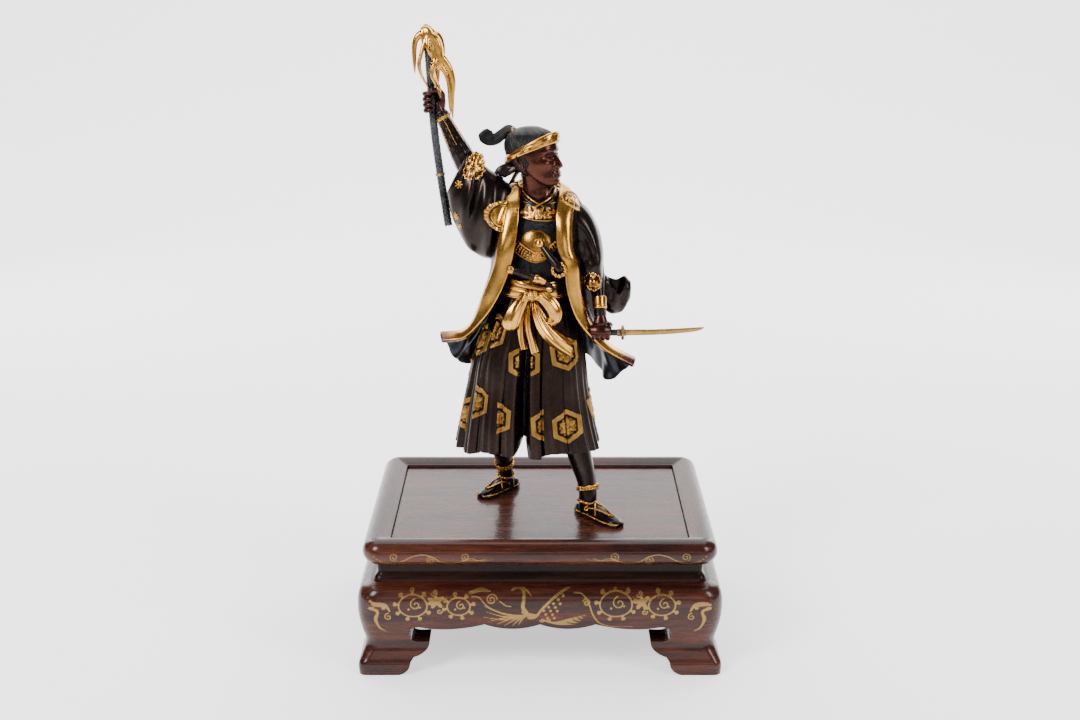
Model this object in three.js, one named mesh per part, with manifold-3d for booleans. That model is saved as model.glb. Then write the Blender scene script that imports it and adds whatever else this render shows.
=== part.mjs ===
// Bronze samurai with a raised torch and a drawn sword, on a carved hardwood stand.
// Millimetres, +Z up. The origin is on the ground, under the middle of the stand.
// The figure faces -Y, so its right arm, with the torch, is on the -X side.
import * as THREE from "three";
import { mergeVertices } from "three/addons/utils/BufferGeometryUtils.js";
import Module from "manifold-3d";

const wasm = await Module();
wasm.setup();

// Driving dimensions
const standWidth = 238; // across the swell of the base
const standDepth = 178;
const standHeight = 91;
const frameWidth = 230;
const frameDepth = 170;
const frameThick = 17;
const frameCorner = 12;
const railWidth = 17.5;
const panelTop = 86.5;
const panelThick = 6;
const waistBottom = 62;
const waistTop = standHeight - frameThick;
const waistInset = 13; // in from the base's widest point
const waistWall = 16;
const baseWall = 22;
const legWidth = 47; // each leg, along the front and along the side
const apronEdge = 32.7; // height of the apron's lower edge
const gap = 0.3; // between pieces that touch
const clothThick = 1.8;

const colours = {
  bronze: 0x2b2320,
  skin: 0x5a2d1c,
  gilt: 0xc9963c,
  iron: 0x4a4c50,
  wood: 0x4a1e12,
  lacquer: 0x2e1710,
};
const finish = (color, metalness, roughness) =>
  new THREE.MeshStandardMaterial({ color, metalness, roughness });

// Vectors, smooth reading of rows of numbers, and solids

const vec = (p) => new THREE.Vector3(...p);

// Reads rows of equal length smoothly at t, from 0 at the first row to 1 at the last.
function between(rows, t) {
  const last = rows.length - 1;
  const s = Math.min(Math.max(t, 0) * last, last - 1e-9);
  const i = Math.floor(s);
  const f = s - i;
  const [a, b, c, d] = [-1, 0, 1, 2].map((k) => rows[Math.min(Math.max(i + k, 0), last)]);
  return b.map((_, k) => {
    const m0 = (c[k] - a[k]) / 2;
    const m1 = (d[k] - b[k]) / 2;
    const rise = c[k] - b[k];
    return b[k] + f * (m0 + f * (3 * rise - 2 * m0 - m1 + f * (m0 + m1 - 2 * rise)));
  });
}

function solidOf(geometry) {
  const bare = new THREE.BufferGeometry().setAttribute("position", geometry.getAttribute("position"));
  if (geometry.index) bare.setIndex(geometry.index);
  const merged = mergeVertices(bare, 1e-4);
  const mesh = new wasm.Mesh({
    numProp: 3,
    vertProperties: merged.attributes.position.array,
    triVerts: new Uint32Array(merged.index.array),
  });
  const made = new wasm.Manifold(mesh);
  if (made.volume() > 0) return made;
  mesh.triVerts.reverse();
  return new wasm.Manifold(mesh);
}

function geometryOf(solid) {
  const mesh = solid.getMesh();
  const positions = new Float32Array(mesh.numVert * 3);
  for (let i = 0; i < mesh.numVert; i++)
    positions.set(mesh.vertProperties.subarray(i * mesh.numProp, i * mesh.numProp + 3), i * 3);
  return new THREE.BufferGeometry()
    .setAttribute("position", new THREE.BufferAttribute(positions, 3))
    .setIndex(new THREE.BufferAttribute(mesh.triVerts, 1))
    .toNonIndexed();
}

const join = (...solids) => solids.reduce((a, b) => a.add(b));
const cut = (solid, ...tools) => tools.reduce((a, b) => a.subtract(b), solid);

// One closed body: pockets that no opening reaches are filled, and stray crumbs dropped.
function sound(solid) {
  const bodies = solid.decompose().filter((b) => b.volume() > 0);
  return bodies.sort((a, b) => b.volume() - a.volume())[0];
}

// A closed solid over rings of equal length, with a fan over each end.
function skin(rings) {
  const sides = rings[0].length;
  const points = rings.flat();
  const index = [];
  const at = (i, j) => i * sides + (j % sides);
  for (let i = 0; i + 1 < rings.length; i++)
    for (let j = 0; j < sides; j++)
      index.push(at(i, j), at(i, j + 1), at(i + 1, j + 1), at(i, j), at(i + 1, j + 1), at(i + 1, j));
  for (const [ring, turned] of [[0, true], [rings.length - 1, false]]) {
    const hub = points.length;
    points.push(rings[ring].reduce((a, p) => a.clone().add(p), vec([0, 0, 0])).divideScalar(sides));
    for (let j = 0; j < sides; j++)
      index.push(hub, ...(turned ? [at(ring, j + 1), at(ring, j)] : [at(ring, j), at(ring, j + 1)]));
  }
  return solidOf(new THREE.BufferGeometry().setFromPoints(points).setIndex(index));
}

// A limb, cord or tongue along rows of [x, y, z, half-width, half-depth]; the half-width lies towards side.
function sweep(rows, side, { steps = 5, sides = 8, grow = 0 } = {}) {
  const across = vec(side);
  const rings = Array.from({ length: steps + 1 }, (_, i) => {
    const t = i / steps;
    const [x, y, z, a, b] = between(rows, t);
    const ahead = vec(between(rows, Math.min(t + 0.01, 1)).slice(0, 3));
    const behind = vec(between(rows, Math.max(t - 0.01, 0)).slice(0, 3));
    const along = ahead.sub(behind).normalize();
    const u = across.clone().addScaledVector(along, -across.dot(along)).normalize();
    const v = along.clone().cross(u);
    return Array.from({ length: sides }, (_, j) => {
      const angle = (j / sides) * 2 * Math.PI;
      return vec([x, y, z])
        .addScaledVector(u, (a + grow) * Math.cos(angle))
        .addScaledVector(v, (b + grow) * Math.sin(angle));
    });
  });
  return skin(rings);
}

// A body from rows of one edge point, the other edge point and the half-depth between them, along Y.
function spans(rows, { steps = 4, sides = 8 } = {}) {
  const rings = Array.from({ length: steps + 1 }, (_, i) => {
    const row = between(rows, i / steps);
    const near = vec(row.slice(0, 3));
    const far = vec(row.slice(3, 6));
    const middle = near.clone().lerp(far, 0.5);
    return Array.from({ length: sides }, (_, j) => {
      const angle = (j / sides) * 2 * Math.PI;
      return middle
        .clone()
        .addScaledVector(near.clone().sub(middle), Math.cos(angle))
        .add(vec([0, row[6] * Math.sin(angle), 0]));
    });
  });
  return skin(rings);
}

// A body of level rings from rows of [z, x, y, half-width, half-depth].
function stack(rows, { steps = 6, sides = 16, grow = 0, shape = () => 1 } = {}) {
  const rings = Array.from({ length: steps + 1 }, (_, i) => {
    const t = i / steps;
    const [z, x, y, a, b] = between(rows, t);
    return Array.from({ length: sides }, (_, j) => {
      const angle = (j / sides) * 2 * Math.PI;
      const k = shape(t, angle);
      return vec([x + (a * k + grow) * Math.cos(angle), y + (b * k + grow) * Math.sin(angle), z]);
    });
  });
  return skin(rings);
}

// Cloth of even thickness on a grid of outer points, given as rows.
function cloth(grid, thick) {
  const rows = grid.length;
  const columns = grid[0].length;
  const clamp = (i, n) => Math.min(Math.max(i, 0), n - 1);
  const inner = grid.map((row, i) =>
    row.map((p, j) => {
      const down = grid[clamp(i + 1, rows)][j].clone().sub(grid[clamp(i - 1, rows)][j]);
      const along = row[clamp(j + 1, columns)].clone().sub(row[clamp(j - 1, columns)]);
      return p.clone().addScaledVector(down.cross(along).normalize(), thick);
    }),
  );
  const points = [...grid.flat(), ...inner.flat()];
  const outside = (i, j) => i * columns + j;
  const inside = (i, j) => (rows + i) * columns + j;
  const index = [];
  const quad = (a, b, c, d) => index.push(a, b, c, a, c, d);
  for (let i = 0; i + 1 < rows; i++)
    for (let j = 0; j + 1 < columns; j++) {
      quad(outside(i, j), outside(i, j + 1), outside(i + 1, j + 1), outside(i + 1, j));
      quad(inside(i, j), inside(i + 1, j), inside(i + 1, j + 1), inside(i, j + 1));
    }
  for (let j = 0, end = rows - 1; j + 1 < columns; j++) {
    quad(outside(0, j), inside(0, j), inside(0, j + 1), outside(0, j + 1));
    quad(outside(end, j), outside(end, j + 1), inside(end, j + 1), inside(end, j));
  }
  for (let i = 0, end = columns - 1; i + 1 < rows; i++) {
    quad(outside(i, 0), outside(i + 1, 0), inside(i + 1, 0), inside(i, 0));
    quad(outside(i, end), inside(i, end), inside(i + 1, end), outside(i + 1, end));
  }
  return solidOf(new THREE.BufferGeometry().setFromPoints(points).setIndex(index));
}

const box = (x, y, z, dx, dy, dz) => solidOf(new THREE.BoxGeometry(dx, dy, dz).translate(x, y, z));

// Stand

// A rounded rectangle as a ring of points at height z.
function roundedRing(width, depth, radius, z, perCorner = 4) {
  const ring = [];
  for (let corner = 0; corner < 4; corner++)
    for (let k = 0; k < perCorner; k++) {
      const angle = ((corner + k / (perCorner - 1)) * Math.PI) / 2;
      const sx = corner === 0 || corner === 3 ? 1 : -1;
      const sy = corner < 2 ? 1 : -1;
      ring.push(
        vec([
          sx * (width / 2 - radius) + radius * Math.cos(angle),
          sy * (depth / 2 - radius) + radius * Math.sin(angle),
          z,
        ]),
      );
    }
  return ring;
}

// Rounded rectangles stacked from rows of [z, inset, corner radius].
const tray = (width, depth, rows) =>
  skin(rows.map(([z, inset, radius]) => roundedRing(width - 2 * inset, depth - 2 * inset, radius, z)));

function standFrame() {
  const nose = frameThick / 2;
  const middle = standHeight - nose;
  const levels = 6;
  const rows = Array.from({ length: levels + 1 }, (_, i) => {
    const angle = (i / levels - 0.5) * Math.PI;
    const inset = nose * (1 - Math.cos(angle));
    return [middle + nose * Math.sin(angle), inset, Math.max(frameCorner - inset, 2)];
  });
  const recess = tray(frameWidth, frameDepth, [
    [panelTop - panelThick, railWidth, 2],
    [panelTop + 1.6, railWidth, 2],
    [standHeight + gap, nose + 1.5, 2],
  ]);
  const under = tray(frameWidth, frameDepth, [
    [waistTop - 1, railWidth + 6, 2],
    [standHeight, railWidth + 6, 2],
  ]);
  return cut(tray(frameWidth, frameDepth, rows), recess, under);
}

const standPanel = () =>
  tray(frameWidth, frameDepth, [
    [panelTop - panelThick, railWidth + gap, 2],
    [panelTop, railWidth + gap, 2],
  ]);

function standWaist() {
  const width = standWidth - 2 * waistInset;
  const depth = standDepth - 2 * waistInset;
  const outer = tray(width, depth, [
    [waistBottom, -2.5, 5],
    [waistBottom + 2.5, -1.5, 4],
    [waistBottom + 5, 0.5, 3],
    [waistTop, 0, 3],
  ]);
  const inner = tray(width, depth, [
    [waistBottom - 1, waistWall, 2],
    [waistTop + 1, waistWall, 2],
  ]);
  return cut(outer, inner);
}

// Half of the opening under an apron: toe, lobed leg, round notch, then scallops to the middle.
function openingShape(half, lobes) {
  const leg = half - legWidth;
  const shape = new THREE.Shape();
  const side = (s) => {
    const points = new THREE.Path();
    points.moveTo(s * (leg + 20.5), -2);
    points.lineTo(s * (leg + 20.5), 0);
    points.quadraticCurveTo(s * (leg + 13), 2, s * (leg + 12.6), 9);
    points.lineTo(s * (leg + 10.5), 12);
    points.quadraticCurveTo(s * leg, 15, s * leg, 25.6);
    points.lineTo(s * (leg + 8), 25.6);
    points.quadraticCurveTo(s * (leg + 12), 26, s * (leg + 12), 29.2);
    points.quadraticCurveTo(s * (leg + 12), apronEdge, s * (leg + 7), apronEdge);
    return points.getPoints(2);
  };
  const pitch = (2 * leg) / lobes;
  const scallops = [];
  for (let k = 0; k < lobes; k++) {
    const from = -leg + k * pitch;
    const cusp = (at) => apronEdge + (at === 0 || at === lobes ? 0 : 3.6);
    const curve = new THREE.QuadraticBezierCurve(
      new THREE.Vector2(from, cusp(k)),
      new THREE.Vector2(from + pitch / 2, apronEdge - (k === 0 || k === lobes - 1 ? 1.8 : 3.6)),
      new THREE.Vector2(from + pitch, cusp(k + 1)),
    );
    scallops.push(...curve.getPoints(3));
  }
  shape.setFromPoints([...side(-1), ...scallops, ...side(1).reverse()]);
  return shape;
}

function standBase() {
  // The swelling face: height, how far in from the widest point, and corner radius
  const face = [
    [0, 0.4, 5],
    [7, 0.2, 5],
    [12, 2.2, 6],
    [20, 4.6, 9],
    [29, 2.6, 10],
    [38, 0.6, 12],
    [47, 0, 13],
    [54, 0.7, 13],
    [59, 3.4, 12],
    [waistBottom - gap, 8.5, 8],
  ];
  const inner = tray(standWidth, standDepth, [
    [-1, baseWall, 6],
    [waistBottom + 1, baseWall, 6],
  ]);
  const through = (half, lobes, length) =>
    new THREE.ExtrudeGeometry(openingShape(half, lobes), { depth: length, bevelEnabled: false })
      .translate(0, 0, -length / 2)
      .rotateX(Math.PI / 2);
  const front = solidOf(through(standWidth / 2, 4, standDepth + 10));
  const sides = solidOf(through(standDepth / 2, 2, standWidth + 10).rotateZ(Math.PI / 2));
  return cut(tray(standWidth, standDepth, face), inner, front, sides);
}

// Torch: a bound shaft through the right fist, under a gilt flame

const torchShaft = (grow = 0) =>
  sweep(
    [
      [-60.6, 3.4, 282.3, 2.9, 2.9],
      [-65.2, 5.6, 314, 2.6, 2.6],
      [-69, 7.4, 346, 2.5, 2.5],
      [-71, 9.4, 379, 2.2, 2.2],
    ],
    [1, 0, 0],
    { grow, steps: 4 },
  );

// Tongues of the flame, from the crown down to the tip: rows of [x, y, z, half-width, half-depth]
const flameTongues = [
  [
    // short, at the outside
    [-74.4, 9.4, 403, 3, 2.6],
    [-78, 9, 397, 2.6, 2.4],
    [-80, 9, 388, 1.9, 1.9],
    [-79.9, 8.5, 379.4, 0.3, 0.3],
  ],
  [
    // slender, in front of the shaft
    [-73, 8, 400, 2.6, 2.6],
    [-74.6, 6, 389, 2, 2],
    [-74.6, 5, 379, 1.6, 1.6],
    [-70.6, 5.2, 368.4, 0.3, 0.3],
  ],
  [
    // curling to the thumb
    [-66.4, 7, 388, 3, 2.6],
    [-67, 5.6, 380, 1.7, 1.7],
    [-64, 5.4, 372, 1.6, 1.6],
    [-63.4, 6, 362.6, 0.3, 0.3],
  ],
  [
    // long, hanging free
    [-64, 10, 391, 4, 3.6],
    [-60, 10, 384, 3.2, 2.9],
    [-57, 10.6, 373, 2.2, 2.2],
    [-57.8, 11, 361, 1.9, 1.9],
    [-57, 11, 349.4, 0.3, 0.3],
  ],
  [
    // behind
    [-69, 13, 399, 3.4, 3],
    [-70, 16, 388, 2.6, 2.4],
    [-71, 15.6, 377, 1.9, 1.9],
    [-68, 14.6, 368, 0.3, 0.3],
  ],
];

function torchFlame(grow = 0) {
  const crown = sweep(
    [
      [-71.6, 11, 409.3, 0.6, 0.6],
      [-71.6, 11, 407.6, 3.4, 3.2],
      [-71.4, 10.6, 402.6, 5.2, 4.6],
      [-68.4, 10.4, 396.6, 6.8, 5],
      [-66.6, 10, 389.6, 5.8, 4.4],
      [-65, 9.4, 383, 4, 3],
      [-65, 9, 380.6, 1, 1],
    ],
    [1, 0, 0],
    { grow, steps: 6, sides: 7 },
  );
  const tongues = flameTongues.map((rows) => sweep(rows, [1, 0, 0], { grow, steps: 4, sides: 5 }));
  return sound(cut(join(crown, ...tongues), torchShaft(gap)));
}

// Sword, held level in the left fist, edge down

const hilt = { y: -20, z: 213.6, from: 31, to: 53.6 };
const swordHilt = (grow = 0) =>
  sweep(
    [
      [hilt.from, hilt.y, hilt.z, 2.1, 1.7],
      [hilt.to, hilt.y, hilt.z, 2.2, 1.8],
    ],
    [0, 0, 1],
    { grow, steps: 1 },
  );

function sword() {
  const guard = sweep(
    [
      [hilt.to - 0.4, hilt.y, hilt.z, 4.6, 4.2],
      [hilt.to + 1.6, hilt.y, hilt.z, 4.6, 4.2],
    ],
    [0, 0, 1],
    { steps: 1, sides: 12 },
  );
  const blade = sweep(
    [
      [hilt.to + 1, hilt.y, hilt.z, 2.1, 0.75],
      [72, hilt.y, hilt.z + 0.2, 2, 0.7],
      [90, hilt.y, hilt.z + 1, 1.8, 0.65],
      [103, hilt.y, hilt.z + 2.2, 1.5, 0.5],
      [108, hilt.y, hilt.z + 3.4, 0.2, 0.15],
    ],
    [0, 0, 1],
    { steps: 5, sides: 4 },
  );
  return join(swordHilt(), guard, blade);
}

// The short sword through the sash, and the baton tucked into the breast

const shortSword = (grow = 0) =>
  sweep(
    [
      [-19.6, -24.6, 257, 2.9, 2.6],
      [-16, -25, 256, 2.5, 2.3],
      [-6, -25.6, 252.8, 2.5, 2.3],
      [-1.5, -25.2, 250.8, 2.9, 2.7],
      [3, -24.6, 248.4, 2.4, 2],
      [8.4, -23.4, 243, 2.2, 1.8],
    ],
    [0, 0, 1],
    { grow, steps: 6 },
  );

const baton = (grow = 0) =>
  sweep(
    [
      [1.2, -20.6, 272.8, 2.1, 2.1],
      [6.6, -24, 266.4, 2.2, 2.2],
      [11, -26.6, 261, 2.4, 2.4],
      [12.6, -27.6, 259, 3.8, 3.8],
      [14.2, -28.4, 256.6, 3.2, 3.2],
      [14.8, -28.7, 255.6, 1.2, 1.2],
    ],
    [1, 0, 0],
    { grow, steps: 6 },
  );

// Head, turned to the figure's left

const headCentre = [-3.6, -2.4, 325.4];
const headTurn = THREE.MathUtils.degToRad(62);
const headNod = THREE.MathUtils.degToRad(-4);

// Places a solid made in the head's own frame, where the face looks along -Y.
const placed = (solid) =>
  solidOf(
    geometryOf(solid)
      .rotateX(headNod)
      .rotateZ(headTurn)
      .translate(...headCentre),
  );

const neck = (grow = 0) =>
  sweep(
    [
      [-1, -2, 290, 10, 9.6],
      [-1.8, -2.6, 303, 8.8, 9],
      [-3.4, -2.6, 316, 9.2, 9.6],
    ],
    [1, 0, 0],
    { grow, steps: 3, sides: 12 },
  );

// The tied ends of the headband fall from the nape and curl to the shoulder.
const ties = (grow = 0) =>
  sweep(
    [
      [-12.6, 6, 319.4, 3, 2.4],
      [-19, 8, 317.4, 4, 2.6],
      [-26, 8.4, 314.6, 4.4, 2.8],
      [-28, 7, 307, 3.6, 3],
    ],
    [0.5, 0.2, 1],
    { grow, steps: 5, sides: 6 },
  );

function head() {
  // Height, middle and half-sizes of the level sections, from the chin up to the crown
  const skull = stack(
    [
      [-17.4, 0, -10.4, 2.4, 2.2],
      [-16.2, 0, -9.4, 6.2, 5.6],
      [-11.6, 0, -6.2, 9.6, 10.4],
      [-5, 0, -2.6, 12, 14],
      [2.4, 0, 0.4, 13.6, 16.8],
      [10, 0, 1.6, 13.6, 17.4],
      [16, 0, 2.2, 10.8, 14.2],
      [20, 0, 2.6, 4.8, 6.8],
      [20.9, 0, 2.6, 1, 1],
    ],
    { steps: 8, sides: 12 },
  );
  const bar = (side, steps, rows) => sweep(rows, side, { steps, sides: 6 });
  const nose = bar([1, 0, 0], 3, [
    [0, -15.4, 3, 1.5, 1.2],
    [0, -17.4, -1.6, 1.9, 1.8],
    [0, -18.4, -4.8, 2.7, 1.9],
    [0, -15.8, -6, 2.3, 1.3],
  ]);
  const lips = bar([0, 0, 1], 2, [
    [-4, -13.4, -9.4, 0.5, 0.5],
    [0, -15.2, -9.6, 1.6, 1.3],
    [4, -13.4, -9.4, 0.5, 0.5],
  ]);
  const brow = bar([0, 0, 1], 4, [
    [-10, -11.4, 4.4, 0.8, 0.8],
    [-4.6, -15.2, 5, 1.2, 1.2],
    [4.6, -15.2, 5, 1.2, 1.2],
    [10, -11.4, 4.4, 0.8, 0.8],
  ]);
  const ear = (s) =>
    bar([0, 1, 0], 3, [
      [s * 12.4, 2.4, -5.4, 1.4, 1],
      [s * 14.6, 3, 0, 2.7, 1.5],
      [s * 13.4, 3.2, 4, 1.6, 1],
    ]);
  // The headband dips from the brow to the nape.
  const band = skin(
    [
      [-3.2, 0.2],
      [-2.6, 1.1],
      [2.6, 1.1],
      [3.2, 0.2],
    ].map(([rise, proud]) =>
      Array.from({ length: 12 }, (_, j) => {
        const angle = (j / 12) * 2 * Math.PI;
        return vec([
          (14 + proud - 0.1 * rise) * Math.cos(angle),
          1 + (17.2 + proud - 0.1 * rise) * Math.sin(angle),
          6.8 + rise - 7.4 * Math.sin(angle),
        ]);
      }),
    ),
  );
  const face = placed(join(skull, nose, lips, brow, ear(1), ear(-1), band));
  const topknot = sweep(
    [
      [-11, 1, 338.6, 3, 3],
      [-16.2, 3, 342.4, 2.3, 2.3],
      [-20.6, 5, 344, 2.6, 2.6],
      [-25, 6, 340, 3.1, 2.8],
      [-30, 7, 336.6, 3.5, 3],
      [-34, 7, 337.8, 5.4, 3.6],
      [-36.4, 7, 338.4, 3.6, 2.4],
    ],
    [0.3, 0, 1],
    { steps: 7, sides: 6 },
  );
  return sound(join(face, topknot, neck(), ties()));
}

// The figure: hakama, legs, armoured chest, open coat, sleeves, arms and hands, cast as one

// Hakama: two wide pleated legs with a deep fold between them
const hakamaRows = [
  // z, x, y, half-width, half-depth
  [132.5, -8.4, -8, 48, 28],
  [150, -8.8, -7.4, 44.6, 27],
  [172, -8.4, -6.4, 40.6, 25],
  [195, -7, -5.4, 37, 23.4],
  [218, -4.5, -5, 30.5, 21],
  [240, -2.5, -4.5, 22.5, 16.5],
];
const pleatCount = 16;
const foldX = -9.6; // of the gap between the two legs
function hakamaShape(t, angle) {
  const low = 1 - t;
  const phase = (((angle / (2 * Math.PI)) * pleatCount + 0.35) % 1 + 1) % 1;
  const pleat = 0.075 * low * (phase < 0.82 ? phase / 0.82 - 0.5 : (1 - phase) / 0.18 - 0.5);
  const fold = (at) => {
    const off = Math.atan2(Math.sin(angle - at), Math.cos(angle - at)) / 0.13;
    return Math.exp(-off * off);
  };
  return 1 + pleat - 0.42 * Math.min(1, 1.5 * low) * (fold(-Math.PI / 2) + fold(Math.PI / 2));
}

function hakama() {
  const hem = hakamaRows[0][0];
  const whole = stack(hakamaRows, { steps: 5, sides: 48, shape: hakamaShape });
  const hollow = (x, y) =>
    stack(
      [
        [hem - 2, x, y, 18, 15],
        [hem + 10, x, y, 14, 12],
      ],
      { steps: 1, sides: 8 },
    );
  const notch = stack(
    [
      [hem - 2, foldX, 0, 5, 60],
      [hem + 8, foldX, 0, 0.6, 60],
    ],
    { steps: 1, sides: 4 },
  );
  return cut(whole, hollow(-31, -4), hollow(16, -12), notch);
}

const legs = [
  {
    // right, set back
    shin: [
      [-28, -2, 146, 9, 9],
      [-27, 6, 126, 7, 7.4],
      [-25.2, 15, 112, 5.6, 6],
      [-24, 21, 101, 5.2, 5.6],
      [-23.2, 24.5, 90, 5.4, 5.6],
    ],
    heel: [-17, 30.6],
    toe: [-41, 6.2],
  },
  {
    // left, stepped forward
    shin: [
      [22, -13, 146, 9.4, 9.4],
      [26.7, -16, 127, 8.1, 8.2],
      [31.4, -19, 110, 6.6, 6.8],
      [32.5, -21.5, 99, 6.1, 6.2],
      [32, -22.5, 90, 6, 6.2],
    ],
    heel: [26, -16.4],
    toe: [52.6, -45.6],
  },
];

function legAndFoot({ shin, heel, toe }) {
  const along = [toe[0] - heel[0], toe[1] - heel[1]];
  const length = Math.hypot(...along);
  const across = [-along[1] / length, along[0] / length, 0];
  // How far along the foot, its half-width and its height there
  const foot = [
    [0, 2.6, 4.4],
    [0.1, 4.6, 7.6],
    [0.3, 5.2, 9.4],
    [0.5, 5.4, 7.4],
    [0.75, 5.8, 5],
    [0.93, 4.8, 3.8],
    [1, 2.2, 2.4],
  ].map(([s, a, h]) => [heel[0] + along[0] * s, heel[1] + along[1] * s, panelTop + h / 2 - 1, a, h / 2 + 1]);
  const shoe = sweep(foot, across, { steps: 6 });
  const below = box(heel[0] + along[0] / 2, heel[1] + along[1] / 2, panelTop - 10, 80, 80, 20);
  return cut(join(sweep(shin, [1, 0, 0], { steps: 4 }), shoe), below);
}

// Trunk: the armoured chest in front, reaching the coat's back behind
const trunkRows = [
  [226, -3, -1, 22, 18],
  [240, -2.6, 1.6, 22.5, 20.6],
  [256, -1.6, 1.4, 24, 21.2],
  [272, -0.5, 1.2, 25, 21],
  [286, 0, 2.4, 24, 18.6],
  [295, 0, 2.6, 19, 15.4],
  [302, -0.5, 2, 13, 12],
];
const trunk = () => stack(trunkRows, { steps: 5, sides: 12 });

// Open coat. Each front edge carries a band: its free edge, then the edge sewn to the coat,
// both from the collar down to the blown corner of the hem.
const rightBand = {
  free: [
    [-13.2, -4, 306.5],
    [-14.2, -14, 297.5],
    [-14.8, -19, 287.2],
    [-16.9, -22, 273.5],
    [-20.4, -23.5, 257.5],
    [-27.5, -25, 239.5],
    [-37.5, -23, 224],
    [-50.5, -17, 210],
    [-65.4, -13, 206.4],
  ],
  sewn: [
    [-19.4, 0.6, 305.6],
    [-22.4, -9, 299],
    [-24.4, -16, 287.5],
    [-27, -20, 272.6],
    [-29.8, -20.4, 257],
    [-36.6, -19, 239.2],
    [-43.2, -14.5, 221.8],
    [-51.4, -8, 211.6],
    [-65.8, -3, 208],
  ],
};
const leftBand = {
  free: [
    [13, -5, 304.6],
    [11.9, -14, 297.3],
    [11.1, -20, 287.4],
    [12.4, -23.6, 271],
    [16.4, -25.6, 258],
    [19, -27, 240],
    [26.6, -26, 221.6],
    [42.9, -19, 202.4],
    [62.6, -13, 189.2],
  ],
  sewn: [
    [19, -1, 304],
    [21.6, -10, 299],
    [20.4, -18, 287.4],
    [20.9, -22, 271],
    [24.3, -22.8, 259],
    [26.7, -22, 240],
    [33, -17.4, 219.4],
    [46, -8.6, 202.4],
    [63, -3, 190.4],
  ],
};
// Sides and back of the coat at the same levels: side x, y and z on the right and on the left,
// then half the breadth of the back, its y and its z
const coatBack = [
  [-19, 6, 305, 17.6, 5, 302.6, 10.6, 12.6, 304],
  [-28, 5, 301, 26.6, 4, 296, 16.6, 17.6, 298],
  [-32, 4, 290, 32, 3, 286, 22, 21.6, 287],
  [-32.6, 3, 271, 32, 3, 270, 23, 23, 272],
  [-31.6, 3, 254, 32, 3, 254, 23, 23.4, 256],
  [-35.4, 3, 236, 34, 3, 238, 24, 25, 238],
  [-42, 5, 215, 38.6, 5, 216, 27, 28, 218],
  [-49.6, 6.4, 199, 44.6, 7, 194, 30, 31, 200],
  [-53.4, 7, 185, 48, 7, 173.6, 32, 33, 185],
];

// The coat's outer face: across runs from the right front edge round the back to the left one.
function coatPoint(down, across) {
  const [rx, ry, rz, lx, ly, lz, half, backY, backZ] = between(coatBack, down);
  const line = [
    between(rightBand.free, down),
    between(rightBand.sewn, down),
    [rx, ry, rz],
    [-half, backY * 0.9, backZ],
    [0, backY, backZ],
    [half, backY * 0.9, backZ],
    [lx, ly, lz],
    between(leftBand.sewn, down),
    between(leftBand.free, down),
  ];
  // Broad folds down the back, deeper towards the hem
  const back = Math.exp(-(((across - 0.5) / 0.2) ** 4));
  const fold = 2.6 * down * back * Math.cos(2 * Math.PI * 4.5 * (across - 0.5 + 0.06 * down));
  return vec(between(line, across)).add(vec([0, fold, 0]));
}

function coat() {
  const rows = 8;
  const columns = 20;
  const grid = Array.from({ length: rows + 1 }, (_, i) =>
    Array.from({ length: columns + 1 }, (_, j) => coatPoint(i / rows, j / columns)),
  );
  return cloth(grid, clothThick);
}

// Sleeves: rows of an upper or outer edge point, a lower or inner one, and the half-depth
const rightSleeveRows = [
  [-12, 1, 303, -12, 1, 262, 12],
  [-26, 1, 313, -32, 0, 258.6, 15],
  [-36, 1, 321, -46, 0, 265, 14],
  [-42.6, 1, 328.4, -56.4, 0, 283, 12],
  [-45.6, 2, 332, -61, 1, 302, 9.4],
];
const leftSleeveRows = [
  [16, 1, 301, 10, 1, 280, 12],
  [29.6, 0, 294, 16, 0, 275, 14],
  [37.6, -2, 281.6, 20, -2, 268, 14],
  [41.4, -4, 268, 24, -4, 259, 13.6],
  [42, -6, 254, 27.6, -7, 250, 12.4],
  [41.6, -9, 243, 29, -10, 242, 10.6],
];
// The long pocket of the left sleeve, blown out behind the arm
const pocketRows = [
  [38, 2, 258, 35, -1, 234, 6],
  [44, 5, 247, 41, 3, 226, 6],
  [50, 7, 243.6, 47.6, 6, 219.6, 6.6],
  [56, 8, 245.4, 54.6, 8, 220, 6.6],
  [59.6, 8, 242.6, 59.4, 8, 227.6, 4.6],
];

const rightSleeve = () =>
  cut(
    spans(rightSleeveRows, { steps: 5, sides: 12 }),
    spans([[-43.6, 1.6, 325, -55, 1, 303, 7], [-47.8, 2.2, 337, -67, 1, 303, 9]], { steps: 1 }),
  );
const leftSleeve = () =>
  cut(
    spans(leftSleeveRows, { steps: 5, sides: 12 }),
    spans([[40, -7, 250, 30.6, -8, 248, 9], [40.6, -10, 240, 30, -11, 239.6, 9.4]], { steps: 1 }),
  );
const pocket = () =>
  cut(
    spans(pocketRows, { steps: 4, sides: 10 }),
    stack([[231, 51.6, 4, 0.8, 1.4], [249, 51.8, 3, 7, 5.6]], { steps: 1, sides: 6 }),
  );

const rightArm = () =>
  sweep(
    [
      [-40, 2, 306, 8, 8],
      [-49.7, 4, 325, 7.6, 7.4],
      [-55.9, 6, 336.7, 6.3, 6.4],
      [-61.4, 8, 347.6, 4.6, 4.8],
      [-64.8, 8.4, 354, 4.2, 5],
    ],
    [1, 0, 0],
    { steps: 4 },
  );

const leftArm = () =>
  sweep(
    [
      [35, -6, 258, 7, 7],
      [37.6, -9, 246, 6.6, 6.8],
      [39.6, -14, 236, 6, 6.2],
      [39.6, -17.6, 226.6, 4.8, 4.8],
      [39.8, -19.2, 221, 4.8, 4.4],
    ],
    [1, 0, 0],
    { steps: 4 },
  );

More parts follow.
